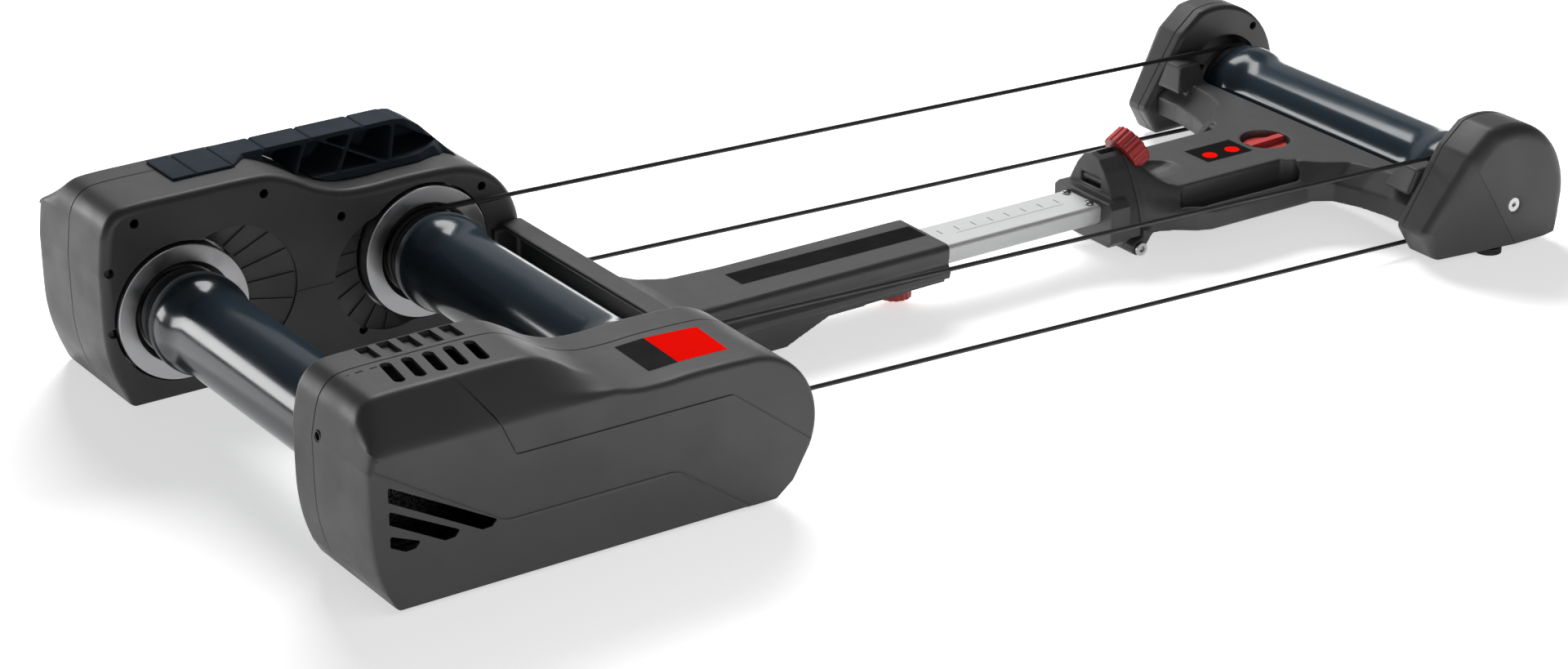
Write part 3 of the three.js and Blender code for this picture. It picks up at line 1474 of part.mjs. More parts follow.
// Rubber feet
const foot_from_front_axle = { cap_x: -14 };
const foot = {
  r: 12,
  spread_shares: [0.13, 0.87],
  inner_share: 0.4,
  ...placed(front_axle_x, foot_from_front_axle),
};
const cap_foot_share = 0.7; // of the way from a cap's inner face to its outer one
function foot_body() {
  return post(0, 0, foot.r, 0, foot_height - gap, small_sides);
}

// Assembly, with the part's origin below the middle of its box
const part = new THREE.Group();
const datum = new THREE.Group();
const middle_x = (housing.rear_x + cap.arc_x + cap.arc_r) * half;
const middle_y = (housing_sides.far.inner + housing_sides.near.inner) * half;
datum.position.set(-middle_x, -middle_y, 0);
part.add(datum);

function put(name, body, look, place) {
  const made = mesh(name, body, look);
  if (place) made.position.set(...place);
  datum.add(made);
  return made;
}

put("main_frame", main_frame_body(), paint.charcoal);
put("near_end_plate", near_end_plate_body(), paint.steel);
put("far_end_plate", end_plate(housing_sides.far), paint.steel);
put("beam_cover", beam_cover_body(), paint.black);
put("rail_guide", rail_guide_body(), paint.black);
put("far_inner_shell", far_inner_shell_body(), paint.charcoal);
put("far_outer_shell", far_outer_shell_body(), paint.charcoal);
put("near_inner_shell", near_inner_shell_body(), paint.charcoal);
put("near_outer_shell", near_outer_shell_body(), paint.charcoal);
put("step_plate", step_plate_body(), paint.navy);
put("servo_motor", servo_motor_body(), paint.black);
put("circuit_board", circuit_board_body(), paint.board);
put("power_socket", power_socket_body(), paint.black);
put("magnet_carrier", magnet_carrier_body(), paint.steel);

const axle_places = {
  rear: [rear_axle_x, 0, rear_axle_z],
  middle: [middle_axle_x, 0, rear_axle_z],
  front: [front_axle_x, 0, front_axle_z],
};
const roller = { drum: drum_body(), plug: plug_body(), bearing: bearing_body() };
for (const [which, place] of Object.entries(axle_places)) {
  put("drum_" + which, roller.drum, paint.drum, place);
  for (const end of ["near", "far"]) {
    const turn = end === "near" ? Math.PI : 0;
    put(`${which}_plug_${end}`, roller.plug, paint.grey, place).rotation.z = turn;
    put(`${which}_bearing_${end}`, roller.bearing, paint.steel, place).rotation.z = turn;
  }
}
put("rear_axle", rod(axle_r, -axle_half, axle_half), paint.steel, axle_places.rear);
put("middle_axle", rod(axle_r, -axle_half, axle_half), paint.steel, axle_places.middle);
put("front_axle", front_axle_body(), paint.steel, axle_places.front);
put("rear_flywheel", flywheel_body(), paint.aluminium, axle_places.rear);
put("middle_flywheel", flywheel_body(), paint.aluminium, axle_places.middle);
put("brake_disc", brake_disc_body(), paint.aluminium, axle_places.rear).rotation.z = Math.PI;
put("near_belt", belt_body(-belt.y), paint.belt);
put("far_belt", belt_body(belt.y), paint.belt);

put("rail", rail_body(), paint.rail);
put("clamp_knob", clamp_knob_body(), paint.red);
put("clamp_screw", clamp_screw_body(), paint.steel);
put("pivot_block", pivot_block_body(), paint.charcoal);
put("hinge_pin", hinge_pin_body(), paint.steel);
put("lock_nut", lock_nut_body(), paint.steel);
put("lock_knob", lock_knob_body(), paint.red);
put("lock_screw", lock_screw_body(), paint.steel);
put("front_yoke", front_yoke_body(), paint.charcoal);
const dial_turn = THREE.MathUtils.degToRad(dial.turn_degrees);
put("front_dial", dial_body(), paint.red, [dial.x, 0, 0]).rotation.z = dial_turn;

for (const [which, side] of Object.entries(cap_sides)) {
  put(which + "_cap_inner", cap_inner_body(side), paint.charcoal);
  put(which + "_cap_outer", cap_outer_body(side), paint.charcoal);
  put(which + "_axle_screw", axle_screw_body(), paint.steel, axle_places.front).rotation.z =
    side.way < 0 ? Math.PI : 0;
  const foot_y = side.way * blend(side.inner, cap.outer_face, cap_foot_share);
  put(which + "_cap_foot", foot_body(), paint.rubber, [foot.cap_x, foot_y, 0]);
}
for (const [which, side] of Object.entries(housing_sides)) {
  const y = side.inner + side.way * housing.width * foot.inner_share;
  const [rear_x, front_x] = foot.spread_shares.map((share) => housing.rear_x + share * housing.length);
  put(which + "_rear_foot", foot_body(), paint.rubber, [rear_x, y, 0]);
  put(which + "_middle_foot", foot_body(), paint.rubber, [front_x, y, 0]);
}

export default part;
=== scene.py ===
import json
import math

import bmesh
import bpy
from mathutils import Matrix, Vector


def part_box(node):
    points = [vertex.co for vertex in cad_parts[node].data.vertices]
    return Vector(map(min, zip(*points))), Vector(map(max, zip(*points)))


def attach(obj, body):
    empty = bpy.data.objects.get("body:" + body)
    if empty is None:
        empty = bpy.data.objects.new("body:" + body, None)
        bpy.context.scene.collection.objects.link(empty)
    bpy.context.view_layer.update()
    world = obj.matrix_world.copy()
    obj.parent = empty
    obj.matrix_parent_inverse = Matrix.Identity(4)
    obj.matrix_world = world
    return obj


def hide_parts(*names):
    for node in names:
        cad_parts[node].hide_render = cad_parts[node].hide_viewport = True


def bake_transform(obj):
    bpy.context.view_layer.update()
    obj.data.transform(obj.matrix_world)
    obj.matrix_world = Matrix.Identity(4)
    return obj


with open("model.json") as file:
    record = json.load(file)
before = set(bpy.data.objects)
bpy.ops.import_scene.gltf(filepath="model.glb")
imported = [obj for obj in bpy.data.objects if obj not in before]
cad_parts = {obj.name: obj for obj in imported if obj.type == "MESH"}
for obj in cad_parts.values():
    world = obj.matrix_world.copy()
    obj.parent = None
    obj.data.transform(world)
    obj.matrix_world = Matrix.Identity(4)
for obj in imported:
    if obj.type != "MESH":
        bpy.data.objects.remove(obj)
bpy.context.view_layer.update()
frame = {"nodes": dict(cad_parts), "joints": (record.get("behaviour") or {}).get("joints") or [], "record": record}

# The rollers' own datum: millimetres from the floor, from mid drum, and from 46 mm behind the rear axle
MM = 0.001
joints = {joint["name"]: joint for joint in frame["joints"]}
rear_axle = Vector(joints["rear_roller_turn"]["pos_m"])
REAR_AXLE_X = 46
AXLE_Z = rear_axle.z / MM
DATUM = Vector((rear_axle.x - REAR_AXLE_X * MM, rear_axle.y, 0))


def datum_x(name):
    return (joints[name]["pos_m"][0] - DATUM.x) / MM


MIDDLE_AXLE_X = datum_x("middle_roller_turn")
FRONT_AXLE_X = datum_x("front_roller_turn")
FRONT_AXLE_Z = joints["front_roller_turn"]["pos_m"][2] / MM
HINGE_X = datum_x("front_fold")


def at(x, y, z):
    return DATUM + Vector((x, y, z)) * MM


def deselect():
    bpy.ops.object.select_all(action="DESELECT")


def pick_up(piece):
    """Select this piece alone, so that the next step works on it"""
    deselect()
    piece.select_set(True)
    bpy.context.view_layer.objects.active = piece


deselect()


# Camera at the photograph's angle
PHOTO_WIDTH = 1920
FOCAL_PIXELS = 4806.38
SENSOR_WIDTH = 36
CAMERA_PLACE = (-1.7989, -2.5786, 1.3393)
CAMERA_YAW, CAMERA_PITCH, CAMERA_ROLL = 33.8587, 23.4557, -0.41284


def add_camera():
    bpy.ops.object.camera_add(location=CAMERA_PLACE)
    camera = bpy.context.object
    camera.data.sensor_width = SENSOR_WIDTH
    camera.data.lens = camera.data.sensor_width * FOCAL_PIXELS / PHOTO_WIDTH
    turn = Matrix.Rotation(-math.radians(CAMERA_YAW), 4, "Z")
    tilt = Matrix.Rotation(math.radians(90 - CAMERA_PITCH), 4, "X")
    roll = Matrix.Rotation(math.radians(CAMERA_ROLL), 4, "Z")
    camera.rotation_euler = (turn @ tilt @ roll).to_euler()
    bpy.context.scene.camera = camera
    deselect()


# Materials: patterns follow Object coordinates, so their scales are counts to the metre
NOISE_LOW, NOISE_HIGH = 0.35, 0.65


def new_material(name):
    material = bpy.data.materials.new(name)
    material.use_nodes = True
    nodes = material.node_tree.nodes
    return material, nodes, material.node_tree.links, nodes["Principled BSDF"]


def noise(nodes, links, place, scale, detail):
    texture = nodes.new("ShaderNodeTexNoise")
    texture.inputs["Scale"].default_value = scale
    texture.inputs["Detail"].default_value = detail
    links.new(place, texture.inputs["Vector"])
    return texture.outputs["Fac"]


def ramp(nodes, links, value, low, high):
    """The usual span of a noise, carried to values from low to high"""
    node = nodes.new("ShaderNodeMapRange")
    node.inputs["From Min"].default_value = NOISE_LOW
    node.inputs["From Max"].default_value = NOISE_HIGH
    node.inputs["To Min"].default_value = low
    node.inputs["To Max"].default_value = high
    links.new(value, node.inputs["Value"])
    return node.outputs["Result"]


def mixed_colour(nodes, links, value, first, second):
    node = nodes.new("ShaderNodeMix")
    node.data_type = "RGBA"
    node.inputs["A"].default_value = (*first, 1)
    node.inputs["B"].default_value = (*second, 1)
    links.new(value, node.inputs["Factor"])
    return node.outputs["Result"]


def add_bump(nodes, links, shader, height, strength, distance):
    node = nodes.new("ShaderNodeBump")
    node.inputs["Strength"].default_value = strength
    node.inputs["Distance"].default_value = distance
    links.new(height, node.inputs["Height"])
    links.new(node.outputs["Normal"], shader.inputs["Normal"])


def moulded_plastic(name, colour, roughness, grain=900, bump=0.25, worn=0.25, gloss=0.6, wear=0.06):
    """Moulded plastic: slow mottling, handling marks that shine a little more, and a fine eroded grain"""
    material, nodes, links, shader = new_material(name)
    place = nodes.new("ShaderNodeTexCoord").outputs["Object"]
    mottling = noise(nodes, links, place, scale=9, detail=4)
    lighter = tuple(c * (1 + worn) for c in colour)
    links.new(mixed_colour(nodes, links, mottling, colour, lighter), shader.inputs["Base Color"])
    handled = noise(nodes, links, place, scale=26, detail=6)
    links.new(ramp(nodes, links, handled, roughness + wear, roughness - wear), shader.inputs["Roughness"])
    if bump:
        height = noise(nodes, links, place, scale=grain, detail=2)
        add_bump(nodes, links, shader, height, strength=bump, distance=0.0002)
    shader.inputs["Specular IOR Level"].default_value = gloss
    return material


def turned_metal(name, colour, roughness, lines, metallic=1.0):
    """Metal with fine tool marks; lines stretches them along each axis"""
    material, nodes, links, shader = new_material(name)
    place = nodes.new("ShaderNodeTexCoord").outputs["Object"]
    stretched = nodes.new("ShaderNodeMapping")
    stretched.inputs["Scale"].default_value = lines
    links.new(place, stretched.inputs["Vector"])
    marks = noise(nodes, links, stretched.outputs["Vector"], scale=60, detail=5)
    darker = tuple(c * 0.82 for c in colour)
    links.new(mixed_colour(nodes, links, marks, darker, colour), shader.inputs["Base Color"])
    links.new(ramp(nodes, links, marks, roughness - 0.06, roughness + 0.08), shader.inputs["Roughness"])
    add_bump(nodes, links, shader, marks, strength=0.15, distance=0.0001)
    shader.inputs["Metallic"].default_value = metallic
    return material


looks = {
    "charcoal": moulded_plastic("charcoal_moulding", (0.06, 0.06, 0.0605), 0.42, gloss=0.5),
    "black": moulded_plastic("black_moulding", (0.012, 0.012, 0.0125), 0.5),
    "navy": moulded_plastic("navy_step", (0.022, 0.03, 0.04), 0.6, gloss=0.1),
    "drum": moulded_plastic(
        "navy_drum_gloss", (0.02, 0.034, 0.048), 0.16, bump=0, worn=0.12, gloss=0.85, wear=0.02),
    "plug": moulded_plastic("grey_plug", (0.03, 0.03, 0.032), 0.4),
    "aluminium": turned_metal("turned_aluminium", (0.55, 0.55, 0.56), 0.34, (1, 1, 1)),
    "rail": turned_metal("anodised_rail", (0.8, 0.805, 0.81), 0.45, (2, 60, 60), 0.35),
    "steel": turned_metal("bright_steel", (0.6, 0.6, 0.61), 0.26, (8, 8, 8)),
    "red": moulded_plastic("red_grip", (0.5, 0.04, 0.042), 0.4),
    "rubber": moulded_plastic("belt_rubber", (0.014, 0.014, 0.015), 0.6, 400),
    "foot": moulded_plastic("foot_rubber", (0.016, 0.016, 0.016), 0.75, 300),
    "board": moulded_plastic("green_board", (0.02, 0.12, 0.05), 0.3),
    "red label": moulded_plastic("red_label", (0.9, 0.006, 0.003), 0.5, 700, 0.01, 0.02, gloss=0.0),
    "black label": moulded_plastic("black_label", (0.004, 0.004, 0.0045), 0.5, 700, 0.01, 0.2, gloss=0.06),
    "pale mark": moulded_plastic("grey_mark", (0.22, 0.22, 0.23), 0.5),
}
slot_looks = {
    "charcoal_plastic": "charcoal",
    "black_plastic": "black",
    "navy_plastic": "navy",
    "drum_plastic": "drum",
    "plug_plastic": "plug",
    "disc_aluminium": "aluminium",
    "rail_aluminium": "rail",
    "steel": "steel",
    "red_plastic": "red",
    "belt_rubber": "rubber",
    "foot_rubber": "foot",
    "board_green": "board",
}


def dress(piece, look):
    piece.data.materials.clear()
    piece.data.materials.append(looks[look])


def dress_cad_nodes():
    """Each CAD piece gets its slot's look, and the fold lock's nut is blackened"""
    slots = {part["node"]: part["material_slot"] for part in frame["record"]["subparts"]}
    for node, piece in frame["nodes"].items():
        material = looks["plug" if node == "lock_nut" else slot_looks[slots[node]]]
        for slot in piece.material_slots:
            slot.material = material


# Modelling steps shared by the pieces
def lofted(name, rings, closed=False):
    """A solid through rings of points, with its ends filled, or joined to each other when closed"""
    fill = "NOTHING" if closed else "NGON"
    bpy.ops.mesh.primitive_circle_add(vertices=len(rings[0]), radius=MM, fill_type=fill)
    piece = bpy.context.object
    piece.name = piece.data.name = name
    for vertex, point in zip(piece.data.vertices, rings[0]):
        vertex.co = point
    bpy.ops.object.mode_set(mode="EDIT")
    bpy.ops.mesh.select_mode(type="VERT")
    bpy.ops.mesh.select_all(action="SELECT")
    for before, ring in zip(rings, rings[1:]):
        bpy.ops.mesh.extrude_region_move()
        mesh = bmesh.from_edit_mesh(piece.data)
        places = {tuple(round(c, 6) for c in point): i for i, point in enumerate(before)}
        for vertex in mesh.verts:
            if vertex.select:
                vertex.co = ring[places[tuple(round(c, 6) for c in vertex.co)]]
        bmesh.update_edit_mesh(piece.data)
    if closed:
        mesh = bmesh.from_edit_mesh(piece.data)
        for edge in mesh.edges:
            edge.select_set(edge.is_boundary)
        bpy.ops.mesh.select_mode(type="EDGE")
        bpy.ops.mesh.bridge_edge_loops()
    bpy.ops.mesh.select_all(action="SELECT")
    bpy.ops.mesh.normals_make_consistent(inside=False)
    bpy.ops.mesh.select_all(action="DESELECT")
    bpy.ops.mesh.select_face_by_sides(number=4, type="GREATER")
    bpy.ops.mesh.quads_convert_to_tris(ngon_method="CLIP")
    bpy.ops.object.mode_set(mode="OBJECT")
    piece.location = (0, 0, 0)
    return piece


def turned(name, x, z, profile, sides=96, closed=False):
    """Turned round an axle: profile is [radius, place along y]"""
    rings = []
    for radius, along in profile:
        ring = []
        for i in range(sides):
            angle = 2 * math.pi * i / sides
            ring.append(at(x + radius * math.cos(angle), along, z + radius * math.sin(angle)))
        rings.append(ring)
    return lofted(name, rings, closed)


def prism(points, start, end, name="cutter"):
    """An outline in x and z carried along y"""
    return lofted(name, [[at(x, y, z) for x, z in points] for y in (start, end)])


def block(x0, x1, y0, y1, z0, z1):
    return prism([(x0, z0), (x1, z0), (x1, z1), (x0, z1)], y0, y1)


def circle(x, z, r, count=32):
    return [(x + r * math.cos(2 * math.pi * i / count), z + r * math.sin(2 * math.pi * i / count))
            for i in range(count)]


def bore(x, z, r, start, end, count=32):
    return prism(circle(x, z, r, count), start, end)


def copied(master, name, x=0, y=0, z=0, end_for_end=False):
    """A copy with its own mesh, turned round the datum's upright if asked, and moved by millimetres"""
    copy = bpy.data.objects.new(name, master.data.copy())
    copy.data.name = name
    bpy.context.collection.objects.link(copy)
    turn = Matrix.Rotation(math.pi if end_for_end else 0, 4, "Z")
    copy.data.transform(Matrix.Translation(at(x, y, z)) @ turn @ Matrix.Translation(-DATUM))
    return copy


def discard(*masters):
    for master in masters:
        bpy.data.objects.remove(master)


def smooth(piece, degrees=35, creased=None):
    """Smooth shading below an angle; creased tells from an edge's two ends whether it stays a crease"""
    pick_up(piece)
    bpy.ops.object.shade_smooth_by_angle(angle=math.radians(degrees))
    if creased:
        places = [vertex.co for vertex in piece.data.vertices]
        for edge in piece.data.edges:
            if creased(*(places[i] for i in edge.vertices)):
                edge.use_edge_sharp = True
    modifier = piece.modifiers.new("flat_faces", "WEIGHTED_NORMAL")
    modifier.keep_sharp = True
    bpy.ops.object.modifier_apply(modifier=modifier.name)
    deselect()


def bevelled(piece, width=0.35, segments=2, degrees=40):
    modifier = piece.modifiers.new("edges", "BEVEL")
    modifier.width = width * MM
    modifier.segments = segments
    modifier.limit_method = "ANGLE"
    modifier.angle_limit = math.radians(degrees)
    modifier.harden_normals = False
    pick_up(piece)
    bpy.ops.object.modifier_apply(modifier=modifier.name)


def combined(piece, other, operation):
    """Join another solid to a piece, or cut it away; the other one is used up"""
    modifier = piece.modifiers.new("solid", "BOOLEAN")
    modifier.operation = operation
    modifier.object = other
    modifier.solver = "MANIFOLD"
    pick_up(piece)
    bpy.ops.object.modifier_apply(modifier=modifier.name)
    bpy.data.objects.remove(other)


def cut(piece, *cutters):
    for cutter in cutters:
        combined(piece, cutter, "DIFFERENCE")


def finish(piece, look, body, nodes=(), creased=None):
    smooth(piece, creased=creased)
    dress(piece, look)
    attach(piece, body)
    if nodes:
        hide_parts(*nodes)
    deselect()
    return piece


# Rollers
DRUM_HALF = (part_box("drum_rear")[1][1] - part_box("drum_rear")[0][1]) / 2 / MM
WAIST_R, BULB_RISE, BULB_LENGTH = 37.7, 5.3, 53
BULB_SHARES = [
    (0, 0), (0.1, 0.02), (0.2, 0.1), (0.29, 0.25), (0.37, 0.46), (0.45, 0.68), (0.53, 0.86), (0.61, 0.96),
    (0.69, 1), (0.76, 0.985), (0.83, 0.92), (0.89, 0.82), (0.94, 0.7), (0.975, 0.52), (0.992, 0.3), (1, 0),
]
DRUM_BORE_R, RIM_DEPTH = 34.5, 20
BELT_Y = DRUM_HALF + 10.5
PLUG_Y = DRUM_HALF + 0.3
PLUG_END = PLUG_Y + 14.2
PLUG_SLEEVE = 26
FLANGE_R, GROOVE_R, AXLE_ROOM_R = 38.6, 35.7, 7
BOSS_RISE, BEARING_DEPTH = 3.5, 8.3
DISC_Y = PLUG_END + 3.8
DISC_R, HUB_R = 59, 12
BRAKE_R, BRAKE_THICKNESS = 55, 6
rollers = {
    "rear": (REAR_AXLE_X, AXLE_Z),
    "middle": (MIDDLE_AXLE_X, AXLE_Z),
    "front": (FRONT_AXLE_X, FRONT_AXLE_Z),
}


def drum_profile():
    """A waist between two swollen ends, and the rims that the plugs go into"""
    start = DRUM_HALF - BULB_LENGTH
    end = [(WAIST_R + BULB_RISE * rise, start + BULB_LENGTH * along) for along, rise in BULB_SHARES]
    far = [*end, (DRUM_BORE_R, DRUM_HALF), (DRUM_BORE_R, DRUM_HALF - RIM_DEPTH)]
    near = [(r, -y) for r, y in reversed(far)]
    return near + far


def plug_profile():
    """Sleeve in the drum, flanges round the belt's groove, and a boss round the bearing's seat"""
    sleeve_r = DRUM_BORE_R - 0.3
    inside, boss, seat = DRUM_HALF - PLUG_SLEEVE, PLUG_END + BOSS_RISE, PLUG_END - BEARING_DEPTH
    return [
        (AXLE_ROOM_R, inside), (sleeve_r, inside), (sleeve_r, PLUG_Y), (38, PLUG_Y),
        (FLANGE_R, PLUG_Y + 0.6), (FLANGE_R, BELT_Y - 3.6), (38.2, BELT_Y - 3.2), (35.9, BELT_Y - 1.5),
        (GROOVE_R, BELT_Y), (35.9, BELT_Y + 1.5), (38.2, BELT_Y + 3.2), (FLANGE_R, BELT_Y + 3.6),
        (FLANGE_R, PLUG_END - 0.5), (38.1, PLUG_END), (23, PLUG_END), (22, boss), (14.8, boss),
        (14.3, boss - 0.5), (14.3, seat), (AXLE_ROOM_R, seat),
    ]


def bearing_profile():
    """Inner and outer ring, with the shield set back between them"""
    back, shield = PLUG_END - BEARING_DEPTH + 0.3, PLUG_END - 0.7
    return [
        (6.5, back), (14, back), (14, PLUG_END - 0.4), (13.6, PLUG_END), (11.8, PLUG_END), (11.6, shield),
        (8.9, shield), (8.7, PLUG_END), (6.9, PLUG_END), (6.5, PLUG_END - 0.4),
    ]


def flywheel_profile():
    """A hub set back in a dish, and a flat rim with softened edges"""
    face, back = DRUM_HALF + 13, DRUM_HALF + 30
    return [
        (HUB_R, DISC_Y), (39.5, DISC_Y), (40.3, DISC_Y - 0.6), (43.7, face + 0.5), (44.4, face),
        (57.6, face), (58.6, face + 0.4), (DISC_R, face + 1.3), (DISC_R, back - 1), (58, back),
        (HUB_R, back),
    ]


def brake_profile():
    back = DISC_Y + BRAKE_THICKNESS
    return [
        (HUB_R, DISC_Y), (BRAKE_R - 0.5, DISC_Y), (BRAKE_R, DISC_Y + 0.5), (BRAKE_R, back - 0.5),
        (BRAKE_R - 0.5, back), (HUB_R, back),
    ]


def add_rollers():
    """Drum, plug, bearing and disc are each turned once, for the far end, and copied onto the axles"""
    drum = turned("drum", 0, 0, drum_profile())
    plug = turned("plug", 0, 0, plug_profile(), closed=True)
    bearing = turned("bearing", 0, 0, bearing_profile(), 48, closed=True)
    disc = turned("disc", 0, 0, flywheel_profile(), 128, closed=True)
    for which, (x, z) in rollers.items():
        body = f"{which}_roller"
        piece = copied(drum, f"{which}_drum", x, 0, z)
        finish(piece, "drum", body, [f"drum_{which}"])
        for end in ("near", "far"):
            piece = copied(plug, f"{which}_{end}_plug", x, 0, z, end == "near")
            finish(piece, "plug", body, [f"{which}_plug_{end}"])
            piece = copied(bearing, f"{which}_{end}_bearing", x, 0, z, end == "near")
            finish(piece, "steel", body, [f"{which}_bearing_{end}"])
    for which in ("rear", "middle"):
        x, z = rollers[which]
        piece = copied(disc, f"{which}_disc", x, 0, z)
        finish(piece, "aluminium", f"{which}_roller", [f"{which}_flywheel"])
    discard(drum, plug, bearing, disc)
    profile = [(r, -y) for r, y in brake_profile()]
    piece = turned("eddy_disc", *rollers["rear"], profile, 128, closed=True)
    finish(piece, "aluminium", "rear_roller", ["brake_disc"])


# Outlines in x and z
def arc_points(x, z, r, start, stop, step):
    """Points round a centre, in whole degrees up to before stop"""
    return [(x + r * math.cos(math.radians(a)), z + r * math.sin(math.radians(a)))
            for a in range(start, stop, step)]


def quarter_round(r):
    """Depth and draw-in of a rounded edge"""
    turn = [math.radians(a) for a in range(0, 91, 15)]
    return [(r * (1 - math.cos(a)), r * (1 - math.sin(a))) for a in turn]


def smooth_path(points, steps=4):
    """Catmull-Rom curve through the points, from the first to the last"""
    padded = [points[0], *points, points[-1]]
    curve = []
    for a, b, c, d in zip(padded, padded[1:], padded[2:], padded[3:]):
        for i in range(steps):
            t = i / steps
            spot = []
            for p, q, r, s in zip(a, b, c, d):
                bend = (2 * p - 5 * q + 4 * r - s) * t * t + (3 * q - p - 3 * r + s) * t ** 3
                spot.append(0.5 * (2 * q + (r - p) * t + bend))
            curve.append(tuple(spot))
    return [*curve, points[-1]]


def fillet(before, tip, after, radius, steps=4):
    """An arc of that radius that rounds a corner"""
    tip = Vector(tip)
    back, ahead = (Vector(before) - tip).normalized(), (Vector(after) - tip).normalized()
    half_angle = back.angle(ahead) / 2
    reach = radius / math.tan(half_angle)
    centre = tip + (back + ahead).normalized() * (radius / math.sin(half_angle))
    start, end = tip + back * reach - centre, tip + ahead * reach - centre
    turn = start.angle_signed(end)
    arc = []
    for i in range(steps + 1):
        point = start.copy()
        point.rotate(Matrix.Rotation(-turn * i / steps, 2))
        arc.append(tuple(centre + point))
    return arc


def rounded_path(points, radius, steps=4):
    path = [points[0]]
    for before, tip, after in zip(points, points[1:], points[2:]):
        path += fillet(before, tip, after, radius, steps)
    return [*path, points[-1]]


def inset(points, distance):
    """A counter-clockwise outline drawn in by a distance"""
    moved = []
    for i, point in enumerate(points):
        before, after = points[i - 1], points[(i + 1) % len(points)]
        first = Vector((point[0] - before[0], point[1] - before[1])).normalized()
        second = Vector((after[0] - point[0], after[1] - point[1])).normalized()
        n0, n1 = Vector((-first.y, first.x)), Vector((-second.y, second.x))
        step = (n0 + n1) * (distance / (1 + n0.dot(n1)))
        moved.append((point[0] + step.x, point[1] + step.y))
    return moved


def band(path, width):
    """The outline of a strip of that width along a path"""
    left, right = [], []
    for i, point in enumerate(path):
        before, after = path[max(i - 1, 0)], path[min(i + 1, len(path) - 1)]
        way = (Vector(after) - Vector(before)).normalized()
        out = Vector((-way.y, way.x)) * (width / 2)
        left.append((point[0] + out.x, point[1] + out.y))
        right.append((point[0] - out.x, point[1] - out.y))
    return right + left[::-1]


# Housing and cap shells: outlines at depths from a side's inner face
FLOOR_Z = 6
WALL = 3
SHELL_WALL = 5
SEAM_GAP = 0.3
SEAM_EDGE, SEAM_ROUND = 0.6, 0.5
SOLE_LIP, SOLE_FADE = 2, 26


def shell_solid(name, side, outlines, sole_share):
    """Outlines with their depth and draw-in; near the sole the draw-in fades to its share there"""
    loops = []
    for depth, drawn_in, outline in outlines:
        y = side["way"] * (side["inner"] + depth)
        loop = []
        for (x, z), (x_in, z_in) in zip(outline, inset(outline, drawn_in)):
            height = min(1, max(0, (z - FLOOR_Z - SOLE_LIP) / SOLE_FADE))
            fade = sole_share + (1 - sole_share) * height
            loop.append(at(x + (x_in - x) * fade, y, z + (z_in - z) * fade))
        loops.append(loop)
    return lofted(name, loops)


# Housings
HOUSING_REAR = (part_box("far_outer_shell")[0][0] - DATUM.x) / MM
HOUSING_LENGTH = 392
HOUSING_NOSE = HOUSING_REAR + HOUSING_LENGTH
FACE_WIDTH = 126
HEEL_RUN, TOE_RUN = 19, 39
NOSE_STEP, NOSE_STEP_Z = 21.8, 17
CREASE_Z = 120
PRESSING_RISE = 5
sides = {
    "far": {"way": 1, "inner": 175, "seam": 65, "nose_r": 70, "crown": 176.5, "saddle": 145, "sole": 0.8},
    "near": {"way": -1, "inner": 151, "seam": 37, "nose_r": 62, "crown": 165, "saddle": 130, "sole": 5},
}
CROWN_SHARES = [
    (0.8, 0.02), (0.72, 0.03), (0.64, 0), (0.57, 0.06), (0.51, 0.3), (0.467, 0.6),
    (0.415, 0.9), (0.36, 1), (0.2, 1), (0.085, 0.985), (0.045, 0.88), (0.02, 0.58), (0.009, 0.2),
]
REAR_CURVE = [(0, 96), (0, 78), (0.6, 62), (2.6, 47), (6, 33), (11, 19)]
INNER_EDGE = quarter_round(8)
SHOULDER = [
    (86, 0, 1), (89.5, 0, 0.995), (92, 0, 0.965), (94, 0, 0.92), (97, 0, 0.83),
    (105, 0, 0.6), (113, 0, 0.37), (118, 0, 0.23), (121, 0.25, 0.15), (123.3, 0.9, 0.09),
    (125, 2.1, 0.04), (125.8, 3.4, 0.01), (126, 5, 0),
]


def housing_outline(side):
    """From the heel along the sole, round the nose, over the crown's dip and down the rear"""
    r, saddle, sole = side["nose_r"], side["saddle"], side["sole"]
    rise = side["crown"] - saddle
    nose = arc_points(HOUSING_NOSE - r, saddle - r, r, -25, 91, 5)
    crown = smooth_path([(HOUSING_REAR + HOUSING_LENGTH * s, saddle + rise * t) for s, t in CROWN_SHARES])
    rear = smooth_path([(HOUSING_REAR + x, z) for x, z in REAR_CURVE])
    heel, toe = (HOUSING_REAR + HEEL_RUN, sole), (HOUSING_NOSE - TOE_RUN, sole)
    step = (HOUSING_NOSE - NOSE_STEP, NOSE_STEP_Z)
    crease = (HOUSING_REAR, CREASE_Z)
    return [
        *fillet(heel, toe, step, 6), *fillet(toe, step, nose[0], 12), *nose, *crown,
        *fillet(crown[-1], crease, rear[0], 6, 2), *rear, *fillet(rear[-1], heel, toe, 5),
    ]


def pressed(side, points, share):
    """The outline with all above a line over the dip pressed down towards it"""
    line = side["saddle"] + PRESSING_RISE
    return [(x, line + (z - line) * share if z > line else z) for x, z in points]


def housing_solid(name, side, rings, sole_share=1.0):
    """Rings of depth, draw-in and the share of the crown's height that is left"""
    outline = housing_outline(side)
    outlines = [(depth, drawn_in, pressed(side, outline, share)) for depth, drawn_in, share in rings]
    return shell_solid(name, side, outlines, sole_share)


